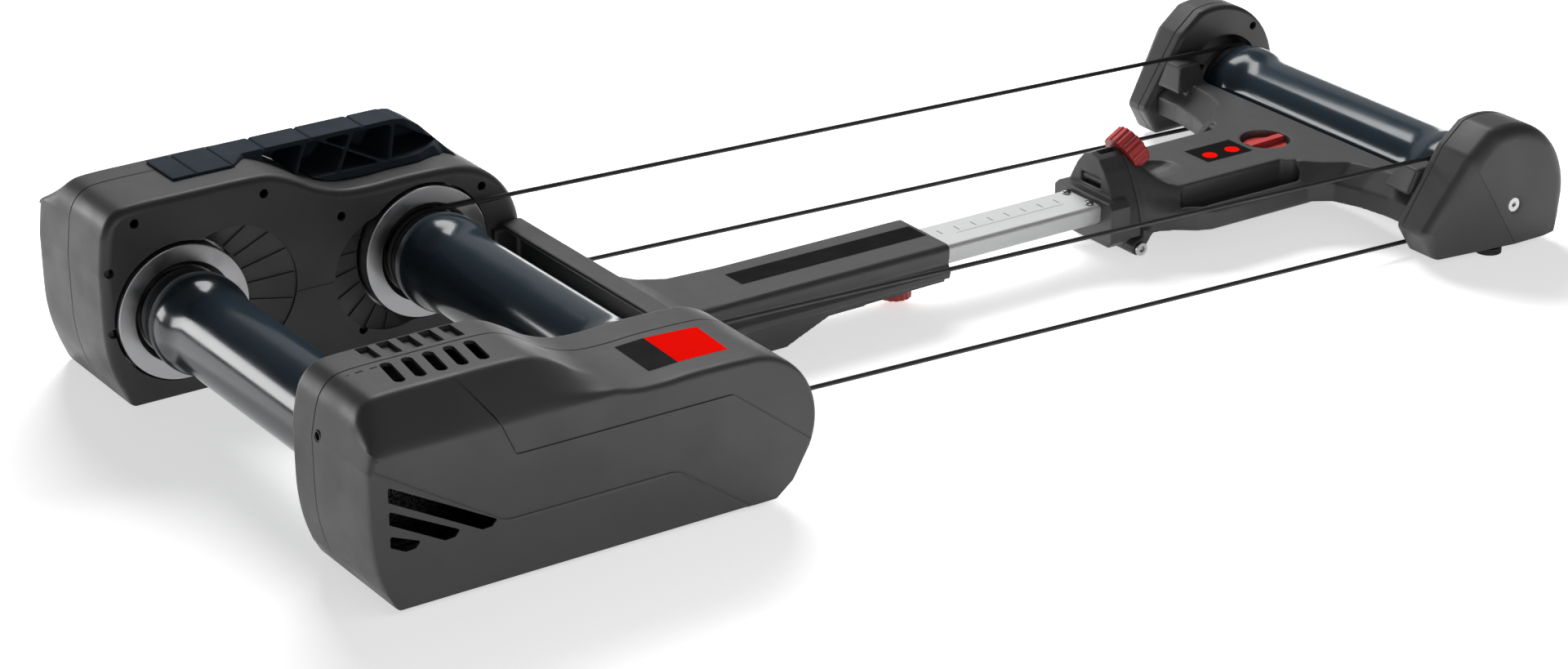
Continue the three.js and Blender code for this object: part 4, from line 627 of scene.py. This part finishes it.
def housing_shell(which, part):
    side = sides[which]
    seam = side["seam"]
    if part == "inner":
        lip = seam - SEAM_GAP
        outside = [*((d, i, 1) for d, i in INNER_EDGE), (lip - SEAM_EDGE, 0, 1), (lip, SEAM_ROUND, 1)]
        hollow = [(WALL, 10, 1), (9, SHELL_WALL, 1), (seam + 2, SHELL_WALL, 1)]
    else:
        outside = [(seam, SEAM_ROUND, 1), (seam + SEAM_EDGE, 0, 1), *SHOULDER]
        hollow = [(seam - 2, WALL, 1), *((d - WALL, i + WALL, s) for d, i, s in SHOULDER[::2])]
    shell = housing_solid(f"{which}_{part}_housing", side, outside, 0.2)
    cut(shell, housing_solid("hollow", side, hollow))
    return shell


# The near housing's lines, vents and slots; its outer face is at negative y
UPPER_LINE = [(86, 135), (99, 106), (291, 105), (366, 46)]
LOWER_LINE = [(-34, 132.5), (-21, 124), (88, 55), (240, 54.5), (308, 5)]
BELOW_THE_SOLE = [(308, -20), (-60, -20), (-60, 148)]
PANEL_DEPTH, PANEL_SLOPE = 1.8, 4.5
SHOULDER_LINE = [(66, -242, 168), (87, -278, 133.5)]
VENTS = [(107, 94.5), (87.7, 76.5), (67.5, 58)]
VENT_REAR_X, VENT_TIP_Z, VENT_SLOPE = -8, 52, 0.61
SLOT_COUNT, SLOT_PITCH, FIRST_SLOT_X = 5, 17.8, 36
SLOT_R, SLOT_LEAN, SLOT_START_Y, SLOT_END_Y = 4.75, 4.3, -197.7, -226.2
SLOT_Z = (155, 170)
LIGHT_COUNT, LIGHT_PITCH, FIRST_LIGHT_X, LIGHT_LENGTH = 3, 12, -1, 6.5
LIGHT_Y, LIGHT_Z = (-197.5, -196), (163.6, 167)
SOCKET_X, SOCKET_Y, SOCKET_Z, SOCKET_R = (-30, -14), -196, 122, 5


def line_cutters(face):
    """The lower panel's sloping edge, and the fine lines of the face and the shoulder"""
    line = rounded_path(LOWER_LINE, 25, 8)
    panel = [*line, *BELOW_THE_SOLE]
    below = [(x, z - PANEL_SLOPE) for x, z in panel]
    levels = [(panel, face - 1), (panel, face - 0.01), (below, face + PANEL_DEPTH)]
    across, down = Vector((0.8, 0, 0)), Vector((0, 0.7, -0.7))
    corners = (across - down * 3, across + down * 2, -across + down * 2, -across - down * 3)
    return [
        lofted("panel", [[at(x, y, z) for x, z in points] for points, y in levels]),
        prism(band(rounded_path(UPPER_LINE, 5), 1.4), face - 1, face + 1.2),
        prism(band(line, 1.3), face - 1, face + 1),
        lofted("cutter", [[at(*(Vector(place) + corner)) for corner in corners] for place in SHOULDER_LINE]),
    ]


def vent_cutters(face):
    cutters = []
    for top, low in VENTS:
        run = (top - VENT_TIP_Z) / VENT_SLOPE
        tips = [(run - 21, VENT_TIP_Z - 0.5), (run - 12.5, VENT_TIP_Z), (run - 8, VENT_TIP_Z + 5)]
        vent = [(VENT_REAR_X, top), (VENT_REAR_X, low), *tips]
        ring = []
        for k, corner in enumerate(vent):
            ring += fillet(vent[k - 1], corner, vent[(k + 1) % len(vent)], 1.4, 3)
        cutters.append(prism(ring, face - 1, face + 8))
    return cutters


def crown_cutters():
    """Slanted air slots, status light windows and the power socket's hole"""
    cutters = []
    for i in range(SLOT_COUNT):
        x = FIRST_SLOT_X + i * SLOT_PITCH
        outline = arc_points(x, SLOT_START_Y, SLOT_R, 0, 181, 20)
        outline += arc_points(x - SLOT_LEAN, SLOT_END_Y, SLOT_R, 180, 361, 20)
        cutters.append(lofted("cutter", [[at(along, y, z) for along, y in outline] for z in SLOT_Z]))
    for i in range(LIGHT_COUNT):
        x = FIRST_LIGHT_X + i * LIGHT_PITCH
        cutters.append(block(x, x + LIGHT_LENGTH, *LIGHT_Y, *LIGHT_Z))
    ring = arc_points(SOCKET_Y, SOCKET_Z, SOCKET_R, 0, 360, 15)
    cutters.append(lofted("cutter", [[at(x, y, z) for y, z in ring] for x in SOCKET_X]))
    return cutters


def add_near_outer_housing():
    face = -(sides["near"]["inner"] + FACE_WIDTH)
    shell = housing_shell("near", "outer")
    cut(shell, *line_cutters(face), *vent_cutters(face), *crown_cutters())
    bevelled(shell)
    finish(shell, "charcoal", "rear_unit", ["near_outer_shell"])


# Holes in the inner faces, for the drums, the belts and the crossbar's tongues
DRUM_OPENING_R = 45.5
TONGUE_X, TONGUE_Z = (338.7, 353.3), (45.7, 80.3)
BELT_SLOT_X, BELT_SLOT_RISE, BELT_SLOT_ROOM = 330, 6, 4
INNER_SLOT_HALF, INNER_SLOT_Z = 5.5, (161, 168)


def add_near_inner_housing():
    shell = housing_shell("near", "inner")
    face = -sides["near"]["inner"]
    cutters = [bore(x, AXLE_Z, DRUM_OPENING_R, face + 2, face - 6, 64) for x in (REAR_AXLE_X, MIDDLE_AXLE_X)]
    for up in (1, -1):
        z = strand_z(BELT_SLOT_X, up)
        cutters.append(block(MIDDLE_AXLE_X + 36, HOUSING_NOSE + 2, -BELT_Y - BELT_SLOT_ROOM,
                             -BELT_Y + BELT_SLOT_ROOM, z - BELT_SLOT_RISE, z + BELT_SLOT_RISE))
    for i in range(SLOT_COUNT):
        x = FIRST_SLOT_X + i * SLOT_PITCH
        cutters.append(block(x - INNER_SLOT_HALF, x + INNER_SLOT_HALF, face - 31, face - 7, *INNER_SLOT_Z))
    cutters.append(block(*TONGUE_X, face + 2, face - 5, *TONGUE_Z))
    cut(shell, *cutters)
    finish(shell, "charcoal", "rear_unit", ["near_inner_shell"])


def add_far_outer_housing():
    shell = housing_shell("far", "outer")
    bevelled(shell)
    finish(shell, "charcoal", "rear_unit", ["far_outer_shell"])


# The far housing's fans: each is the axle's x, the aim and the fade in degrees, and the reach
DISC_OPENING_R = 61
FAN_DEPTH, FAN_RIM = 10, 2.2
FAN_STEPS = 72
fans = [(REAR_AXLE_X, 5, 65, 45), (MIDDLE_AXLE_X, 197, 60, 28)]
RIB_COUNT, RIB_SPREAD = 7, 13
RIB_SECTION = [(-0.9, 1), (-0.6, -1.6), (0.6, -1.6), (0.9, 1)]
BOSSED_SCREWS = [(0.082, 0.909), (0.38, 0.909), (0.559, 0.698), (0.903, 0.68)]
PLAIN_SCREWS = [(0.018, 0.686), (0.017, 0.375), (0.597, 0.07)]
SCREW_HOLE_R = 4.1
FACE_LINE = [(150, 68), (185, 68)]


def fan_outline(fan, swelling, extra):
    """The disc's opening, swollen to one side where swelling is asked for"""
    x, aim, fade, reach = fan
    points = []
    for i in range(FAN_STEPS):
        degrees = 360 * i / FAN_STEPS
        off = abs((degrees - aim + 180) % 360 - 180)
        swell = math.cos(off / fade * math.pi / 2) * reach if off < fade and swelling else 0
        r = DISC_OPENING_R + extra + swell
        angle = math.radians(degrees)
        points.append((x + r * math.cos(angle), AXLE_Z + r * math.sin(angle)))
    return points


def fan_solid(fan, levels, extra=0.0):
    """Levels are [place along y, whether the opening is swollen there]"""
    outlines = [(y, fan_outline(fan, swelling, extra)) for y, swelling in levels]
    return lofted("fan", [[at(x, y, z) for x, z in outline] for y, outline in outlines])


def add_far_inner_housing():
    """The far housing's inner face, with a scooped fan beside each disc"""
    side = sides["far"]
    face = side["inner"]
    shell = housing_shell("far", "inner")
    for fan in fans:
        levels = [(face + 1, True), (face + FAN_RIM + WALL, True), (face + FAN_DEPTH + WALL, False)]
        combined(shell, fan_solid(fan, levels, WALL), "UNION")
    for fan in fans:
        scoop = fan_solid(fan, [(face - 0.3, True), (face + FAN_RIM, True), (face + FAN_DEPTH, False)])
        cut(shell, scoop, bore(fan[0], AXLE_Z, DISC_OPENING_R, face - 2, face + FAN_DEPTH + 6, 96))
    holes = []
    for s, t in BOSSED_SCREWS + PLAIN_SCREWS:
        x, z = HOUSING_REAR + HOUSING_LENGTH * s, FLOOR_Z + (side["crown"] - FLOOR_Z) * t
        holes.append(bore(x, z, SCREW_HOLE_R, face - 2, face + WALL + 2, 24))
    for up in (1, -1):
        z = strand_z(BELT_SLOT_X, up)
        holes.append(block(MIDDLE_AXLE_X, HOUSING_NOSE + 2, face - 2, face + 1.5,
                           z - BELT_SLOT_RISE, z + BELT_SLOT_RISE))
    holes.append(block(*TONGUE_X, face - 2, face + 5, *TONGUE_Z))
    holes.append(prism(band(FACE_LINE, 0.9), face - 1, face + 0.7))
    cut(shell, *holes)
    finish(shell, "charcoal", "rear_unit", ["far_inner_shell"])
    add_fan_ribs(face)


def add_fan_ribs(face):
    """Ribs that fan out across each scoop and end at its outline"""
    for k, (x, aim, fade, reach) in enumerate(fans):
        for i in range(RIB_COUNT):
            degrees = aim + (i - 3) * RIB_SPREAD
            length = math.cos(abs(degrees - aim) / fade * math.pi / 2) * reach
            angle = math.radians(degrees)
            way = Vector((math.cos(angle), math.sin(angle)))
            across = Vector((-math.sin(angle), math.cos(angle)))
            rings = []
            for share in (0.04, 0.5, 0.96):
                centre = Vector((x, AXLE_Z)) + way * (DISC_OPENING_R + length * share)
                floor_y = face + FAN_RIM + (FAN_DEPTH - FAN_RIM) * (1 - share)
                ring = []
                for out, rise in RIB_SECTION:
                    spot = centre + across * out
                    ring.append(at(spot.x, max(floor_y + rise, face + 0.3), spot.y))
                rings.append(ring)
            finish(lofted(f"fan_rib_{k}_{i}", rings), "charcoal", "rear_unit")


# CAD pieces given the soft edges of a moulding
moulded_pieces = [  # node, look, body, slot, voxel in mm, rounds of smoothing, share of the faces kept
    ("main_frame", "charcoal", "rear_unit", "charcoal_plastic", 1.6, 5, 0.35),
    ("beam_cover", "charcoal", "rear_unit", "charcoal_plastic", 1.2, 4, 0.4),
    ("front_yoke", "charcoal", "front_unit", "charcoal_plastic", 1.4, 6, 0.4),
    ("pivot_block", "charcoal", "rail_unit", "charcoal_plastic", 1.0, 4, 0.5),
    ("step_plate", "navy", "rear_unit", "navy_plastic", 1.0, 3, 0.35),
    ("lock_knob", "red", "fold_lock_knob", "red_plastic", 0.6, 3, 0.5),
    ("clamp_knob", "red", "rail_clamp_knob", "red_plastic", 0.6, 3, 0.5),
    ("front_dial", "red", "dial", "red_plastic", 0.6, 4, 0.5),
]


def add_moulded(node, look, body, slot, voxel, rounds, keep):
    """A copy of a node, merged, remeshed finely and smoothed so that its edges are rounded"""
    source = frame["nodes"][node]
    mesh = source.data.copy()
    mesh.transform(source.matrix_world)
    piece = bpy.data.objects.new(node + "_moulded", mesh)
    bpy.context.collection.objects.link(piece)
    pick_up(piece)
    bpy.ops.object.mode_set(mode="EDIT")
    bpy.ops.mesh.select_all(action="SELECT")
    bpy.ops.mesh.remove_doubles(threshold=0.01 * MM)
    bpy.ops.object.mode_set(mode="OBJECT")
    remesh = piece.modifiers.new("skin", "REMESH")
    remesh.mode = "VOXEL"
    remesh.voxel_size = voxel * MM
    bpy.ops.object.modifier_apply(modifier=remesh.name)
    soft = piece.modifiers.new("soft", "SMOOTH")
    soft.factor = 0.5
    soft.iterations = rounds
    bpy.ops.object.modifier_apply(modifier=soft.name)
    lighter = piece.modifiers.new("lighter", "DECIMATE")
    lighter.ratio = keep
    bpy.ops.object.modifier_apply(modifier=lighter.name)
    finish(piece, look, body, [node])


# Front caps
CAP_FACE = DRUM_HALF + 66
CAP_ARC_R = 74
CAP_ROUND, CAP_INNER_ROUND, CAP_WALL = 13, 5, 4
CAP_CREASE = [(1110, 92), (1165, 6)]
CAP_CREASE_WIDTH = 1.2
CAP_LEAN = 0.16
CAP_SCREW_HOLE, CAP_SCREW_HOLE_R = (1196, 94), 4
AXLE_SCREW_ROOM_R, AXLE_SCREW_ROOM_DEPTH = 6.8, 4.9
cap_sides = {
    "far": {"way": 1, "inner": DRUM_HALF + 23, "seam": 12},
    "near": {"way": -1, "inner": DRUM_HALF + 15, "seam": 9},
}


def cap_outline():
    x, z = FRONT_AXLE_X, FRONT_AXLE_Z
    arc = arc_points(x - 10, z + 2, CAP_ARC_R, -33, 106, 6)
    heel, toe = (x - 79, FLOOR_Z), (x + 39, FLOOR_Z)
    bend, rear = (x - 52, z + 55), (x - 96, z - 13)
    return [
        *fillet(rear, heel, toe, 4, 3), *fillet(heel, toe, arc[0], 6, 3), *arc,
        *fillet(arc[-1], bend, rear, 16, 4), *fillet(bend, rear, heel, 7, 4),
    ]


def cap_solid(name, side, rings, sole_share=1.0):
    """Rings of depth and draw-in"""
    outline = cap_outline()
    return shell_solid(name, side, [(depth, drawn_in, outline) for depth, drawn_in in rings], sole_share)


def crease_frame():
    """A point on the crease, and the way from it to the cap's rear part"""
    (x0, z0), (x1, z1) = CAP_CREASE
    run = Vector((x1 - x0, 0, z1 - z0)).normalized()
    return at(x0, 0, z0), Vector((run.z, 0, -run.x))


def on_cap_crease(*ends):
    """Whether both ends of an edge lie on the crease, out on the cap's face"""
    point, out = crease_frame()
    face_start = (CAP_FACE - CAP_ROUND) * MM
    return all(abs((end - point).dot(out)) < 0.02 * MM and abs(end.y - DATUM.y) > face_start for end in ends)


def lean_cap(piece, side):
    """Crease the cap's outer face and lean its rear part inwards"""
    on_crease, out = crease_frame()
    pick_up(piece)
    bpy.ops.object.mode_set(mode="EDIT")
    bpy.ops.mesh.select_all(action="SELECT")
    bpy.ops.mesh.bisect(plane_co=on_crease, plane_no=out)
    bpy.ops.object.mode_set(mode="OBJECT")
    start = side["inner"] + side["seam"]
    for vertex in piece.data.vertices:
        behind = (vertex.co - on_crease).dot(out)
        depth = side["way"] * (vertex.co.y - DATUM.y) / MM
        if behind > 0 and depth > start:
            vertex.co.y -= side["way"] * CAP_LEAN * behind * (depth - start) / (CAP_FACE - start)


def add_cap_outer(which):
    """A domed shell, creased and leaned behind, with a dished hole for the axle's screw"""
    side = cap_sides[which]
    way, seam, depth = side["way"], side["seam"], CAP_FACE - side["inner"]
    turn = [math.radians(a) for a in range(0, 91, 15)]
    rim = [(depth - CAP_ROUND + CAP_ROUND * math.sin(a), CAP_ROUND * (1 - math.cos(a))) for a in turn]
    edge = [(seam, SEAM_ROUND), (seam + SEAM_EDGE, 0)]
    outer = cap_solid(f"{which}_cap_outer_shell", side, [*edge, *rim], 0.15)
    lean_cap(outer, side)
    hollow = cap_solid("hollow", side, [(seam - 2, WALL), *((d - 2 * WALL, i + WALL) for d, i in rim[::2])])
    lean_cap(hollow, side)
    screw_room = bore(FRONT_AXLE_X, FRONT_AXLE_Z, AXLE_SCREW_ROOM_R,
                      way * (CAP_FACE - AXLE_SCREW_ROOM_DEPTH), way * (CAP_FACE + 2), 48)
    dish_profile = [(8.2, way * (CAP_FACE - 0.8)), (10.5, way * (CAP_FACE + 0.5))]
    dish = turned("dish", FRONT_AXLE_X, FRONT_AXLE_Z, dish_profile, 48)
    fold = prism(band(CAP_CREASE, CAP_CREASE_WIDTH), way * (CAP_FACE - 0.5), way * (CAP_FACE + 2))
    cut(outer, hollow, screw_room, dish, fold)
    finish(outer, "charcoal", "front_unit", [f"{which}_cap_outer"], on_cap_crease)


def add_cap_inner(which):
    """A flat shell round the drum's end, with a screw's hole above it"""
    side = cap_sides[which]
    way, lip, start, end = side["way"], side["seam"] - SEAM_GAP, side["inner"] - 2, side["inner"] + 6
    rings = [*quarter_round(CAP_INNER_ROUND), (lip - SEAM_EDGE, 0), (lip, SEAM_ROUND)]
    inner = cap_solid(f"{which}_cap_inner_shell", side, rings)
    hollow = cap_solid("hollow", side, [(WALL, 7), (side["seam"] + 2, CAP_WALL)])
    opening = bore(FRONT_AXLE_X, FRONT_AXLE_Z, DRUM_OPENING_R, way * start, way * end, 96)
    hole = bore(*CAP_SCREW_HOLE, CAP_SCREW_HOLE_R, way * start, way * end, 24)
    cut(inner, hollow, opening, hole)
    finish(inner, "charcoal", "front_unit", [f"{which}_cap_inner"])


# Belts: each in two lengths, which meet before the fold
BELT_R, BELT_LINE_R = 2, 38
BELT_SIDES, WRAP_STEPS, STRAND_STEPS = 10, 36, 24
BELT_JOIN_X = HINGE_X - 45
BELT_RISE = (FRONT_AXLE_Z - AXLE_Z) / (FRONT_AXLE_X - MIDDLE_AXLE_X)


def strand_z(x, up):
    """Height of a belt's strand over a place along the frame"""
    share = (x - MIDDLE_AXLE_X) / (FRONT_AXLE_X - MIDDLE_AXLE_X)
    return AXLE_Z + (FRONT_AXLE_Z - AXLE_Z) * share + up * BELT_LINE_R


def belt_path(axle, start_degrees):
    """From the join along one strand, round the pulley, and back along the other strand"""
    lean = math.atan(BELT_RISE)
    arc = []
    for i in range(WRAP_STEPS + 1):
        angle = math.radians(start_degrees + 180 * i / WRAP_STEPS) + lean
        out = (math.cos(angle), math.sin(angle))
        arc.append(((axle[0] + BELT_LINE_R * out[0], axle[1] + BELT_LINE_R * out[1]), out))
    strands = []
    for (x, z), out in (arc[0], arc[-1]):
        strand = []
        for i in range(1, STRAND_STEPS + 1):
            along = (BELT_JOIN_X - x) * i / STRAND_STEPS
            strand.append(((x + along, z + (BELT_JOIN_X - x) * BELT_RISE * i / STRAND_STEPS), out))
        strands.append(strand)
    return [*reversed(strands[0]), *arc, *strands[1]]


def belt_length(name, axle, start_degrees):
    """A round cord along its path, over mid drum"""
    rings = []
    for (x, z), (out_x, out_z) in belt_path(axle, start_degrees):
        ring = []
        for k in range(BELT_SIDES):
            angle = 2 * math.pi * k / BELT_SIDES
            lift = BELT_R * math.cos(angle)
            ring.append(at(x + out_x * lift, BELT_R * math.sin(angle), z + out_z * lift))
        rings.append(ring)
    return lofted(name, rings)


def add_belts():
    rear_length = belt_length("rear_length", rollers["middle"], 90)
    front_length = belt_length("front_length", rollers["front"], -90)
    for which, y in (("near", -BELT_Y), ("far", BELT_Y)):
        rear = copied(rear_length, f"{which}_belt_rear", y=y)
        front = copied(front_length, f"{which}_belt_front", y=y)
        for piece in (rear, front):
            smooth(piece)
            dress(piece, "rubber")
            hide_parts(f"{which}_belt")
        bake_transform(rear)
        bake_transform(front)
        deselect()
    discard(rear_length, front_length)


# Labels, marks and small screws
RED_LABEL = [(257.5, -251.6), (303, -251.5), (307, -201), (260, -198)]
BLACK_LABEL = [(231, -251.6), (257.3, -251.6), (259.8, -198), (233.5, -198)]
BEAM_LABEL, YOKE_LABEL, RAIL_LINE = (475, 671, -9, 17.5), (977, 1030, -17, 17), (704, 822, -4, -3.2)
FIELD_XS, FIELD_HALF, FIELD_Y = (990, 1016), 7, (-11, 3)
MARK_COUNT, MARK_PITCH, FIRST_MARK_X = 8, 18.4, 692
LABEL_LIFT, FIELD_LIFT, MARK_LIFT = 0.12, 0.2, 0.08
RAIL_SCREW_X, RAIL_SCREW_YS = 841, (-16, 17)
RAIL_SCREW_PROFILE = [
    (0.3, 0.2), (4, 0.2), (4.2, 0.8), (3.9, 1.8), (3.2, 2.6), (2.1, 2.9), (1.9, 1.8), (0.3, 1.6),
]


def rectangle(x0, x1, y0, y1):
    return [(x0, y0), (x1, y0), (x1, y1), (x0, y1)]


def laid_on(name, corners, host, lift=LABEL_LIFT, round_field=False):
    """A thin sheet dropped onto the piece below it; corners are [x, y] in order"""
    bpy.ops.mesh.primitive_grid_add(x_subdivisions=40, y_subdivisions=12, size=2)
    piece = bpy.context.object
    piece.name = piece.data.name = name
    a, b, c, d = (Vector(corner) for corner in corners)
    for vertex in piece.data.vertices:
        u, v = vertex.co.x, vertex.co.y
        if round_field:
            u, v = u * math.sqrt(1 - v * v / 2), v * math.sqrt(1 - u * u / 2)
        s, t = (u + 1) / 2, (v + 1) / 2
        spot = (a * (1 - s) + b * s) * (1 - t) + (d * (1 - s) + c * s) * t
        vertex.co = at(spot.x, spot.y, 200)
    wrap = piece.modifiers.new("wrap", "SHRINKWRAP")
    wrap.wrap_method = "PROJECT"
    wrap.use_project_z = True
    wrap.use_negative_direction = True
    wrap.use_positive_direction = False
    wrap.target = host
    wrap.offset = lift * MM
    pick_up(piece)
    bpy.ops.object.modifier_apply(modifier=wrap.name)
    return piece


def add_labels():
    near = bpy.data.objects["near_outer_housing"]
    beam = bpy.data.objects["main_frame_moulded"]
    yoke = bpy.data.objects["front_yoke_moulded"]
    finish(laid_on("side_label_red", RED_LABEL, near), "red label", "rear_unit")
    finish(laid_on("side_label_black", BLACK_LABEL, near), "black label", "rear_unit")
    label = laid_on("beam_label", rectangle(*BEAM_LABEL), beam)
    finish(label, "black label", "rear_unit")
    label = laid_on("yoke_label", rectangle(*YOKE_LABEL), yoke)
    finish(label, "black label", "front_unit")
    for i, x in enumerate(FIELD_XS):
        corners = rectangle(x - FIELD_HALF, x + FIELD_HALF, *FIELD_Y)
        field = laid_on(f"yoke_label_field_{i}", corners, yoke, FIELD_LIFT, True)
        finish(field, "red label", "front_unit")


def add_rail_marks():
    """The rail's scale: a row of ticks over a line"""
    rail = frame["nodes"]["rail"]
    tick = laid_on("tick", rectangle(FIRST_MARK_X - 0.7, FIRST_MARK_X + 0.7, 1, 10), rail, MARK_LIFT)
    for i in range(MARK_COUNT):
        mark = copied(tick, f"rail_mark_{i}", x=MARK_PITCH * i)
        finish(mark, "pale mark", "rail_unit")
    discard(tick)
    line = laid_on("rail_line", rectangle(*RAIL_LINE), rail, MARK_LIFT)
    finish(line, "pale mark", "rail_unit")


def add_rail_screws():
    """Two pan-head screws that hold the rail in the pivot block"""
    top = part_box("rail")[1][2] / MM
    rings = [[at(x, y, top + rise) for x, y in circle(RAIL_SCREW_X, 0, r)] for r, rise in RAIL_SCREW_PROFILE]
    screw = lofted("rail_screw", rings)
    for i, y in enumerate(RAIL_SCREW_YS):
        finish(copied(screw, f"rail_screw_{i}", y=y), "steel", "rail_unit")
    discard(screw)


def add_hinge_pin():
    """The fold's pin, with a hollow head at each end"""
    low, high = (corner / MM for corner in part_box("hinge_pin"))
    r, end = (high.x - low.x) / 2, (high.y - low.y) / 2
    x = (low.x + high.x) / 2 - DATUM.x / MM
    half = [
        (r, end - 1), (6.2, end - 0.2), (6.2, end + 1.1), (5.7, end + 1.6), (3, end + 1.6),
        (2.6, end - 0.6), (0.2, end - 0.6),
    ]
    pin = turned("fold_pin", x, (low.z + high.z) / 2, [(a, -y) for a, y in reversed(half)] + half, 48)
    finish(pin, "steel", "rail_unit", ["hinge_pin"])


# Floor, backdrop and light
FLOOR_SIZE, FLOOR_GREY, FLOOR_GLOW = 30, 0.86, 0.6
ROOM_LIGHT = 0.06
lamps = [  # name, place, aim, size, power, mirrored in gloss, lights matt surfaces
    ("key", (0.9, 2.1, 1.8), (0, 0, 0), (2.0, 1.2), 135, False, True),
    ("back", (1.6, 3.0, 0.95), (0.6, 0, 0.4), (4.6, 2.4), 9, True, True),
    ("streak", (-1.9, 2.1, 0.6), (-0.3, 0, 0.08), (1.9, 0.7), 24, True, False),
    ("bulbs", (0.55, 1.4, 2.15), (-0.3, 0, 0.1), (1.4, 0.8), 16, True, False),
    ("wash", (-0.15, -0.85, 0.5), (-0.15, -0.9, 0), (1.3, 0.5), 2.2, False, True),
    ("fill", (-0.6, -2.6, 0.5), (0, 0, 0.1), (2.6, 0.5), 8, True, True),
]


def add_floor():
    """A pale floor that the camera sees as white, and gloss mirrors a little brighter"""
    bpy.ops.mesh.primitive_plane_add(size=FLOOR_SIZE, location=(0, 0, 0))
    floor = bpy.context.object
    floor.name = "floor"
    material, nodes, links, shader = new_material("pale_floor")
    shader.inputs["Base Color"].default_value = (FLOOR_GREY, FLOOR_GREY, FLOOR_GREY, 1)
    shader.inputs["Roughness"].default_value = 0.7
    shader.inputs["Specular IOR Level"].default_value = 0.2
    shader.inputs["Emission Color"].default_value = (1, 1, 1, 1)
    ray = nodes.new("ShaderNodeLightPath")
    seen = nodes.new("ShaderNodeMath")
    seen.operation = "MULTIPLY"
    seen.inputs[1].default_value = FLOOR_GLOW
    links.new(ray.outputs["Is Camera Ray"], seen.inputs[0])
    mirrored = nodes.new("ShaderNodeMath")
    mirrored.operation = "MULTIPLY_ADD"
    mirrored.inputs[1].default_value = FLOOR_GLOW
    links.new(ray.outputs["Is Glossy Ray"], mirrored.inputs[0])
    links.new(seen.outputs[0], mirrored.inputs[2])
    links.new(mirrored.outputs[0], shader.inputs["Emission Strength"])
    floor.data.materials.append(material)
    deselect()


def add_world():
    """White to the camera, and a faint light from all round"""
    world = bpy.data.worlds.new("studio")
    bpy.context.scene.world = world
    world.use_nodes = True
    nodes, links = world.node_tree.nodes, world.node_tree.links
    background = nodes["Background"]
    background.inputs["Color"].default_value = (1, 1, 1, 1)
    seen = nodes.new("ShaderNodeLightPath")
    strength = nodes.new("ShaderNodeMapRange")
    strength.inputs["To Min"].default_value = ROOM_LIGHT
    strength.inputs["To Max"].default_value = 1.0
    links.new(seen.outputs["Is Camera Ray"], strength.inputs["Value"])
    links.new(strength.outputs["Result"], background.inputs["Strength"])


def add_lamp(name, place, aim, size, power, mirrored, lights):
    bpy.ops.object.light_add(type="AREA", location=place)
    lamp = bpy.context.object
    lamp.name = name
    lamp.data.shape = "RECTANGLE"
    lamp.data.size, lamp.data.size_y = size
    lamp.data.energy = power
    lamp.visible_glossy = mirrored
    lamp.visible_diffuse = lights
    lamp.visible_camera = False
    lamp.rotation_euler = (Vector(aim) - Vector(place)).to_track_quat("-Z", "Y").to_euler()
    deselect()


def add_studio():
    add_floor()
    add_world()
    for lamp in lamps:
        add_lamp(*lamp)
    bpy.context.scene.view_settings.view_transform = "Standard"


add_camera()
add_studio()
dress_cad_nodes()
add_rollers()
add_near_outer_housing()
add_near_inner_housing()
add_far_outer_housing()
add_far_inner_housing()
for piece in moulded_pieces:
    add_moulded(*piece)
for which in ("near", "far"):
    add_cap_outer(which)
    add_cap_inner(which)
add_belts()
add_labels()
add_rail_marks()
add_rail_screws()
add_hinge_pin()
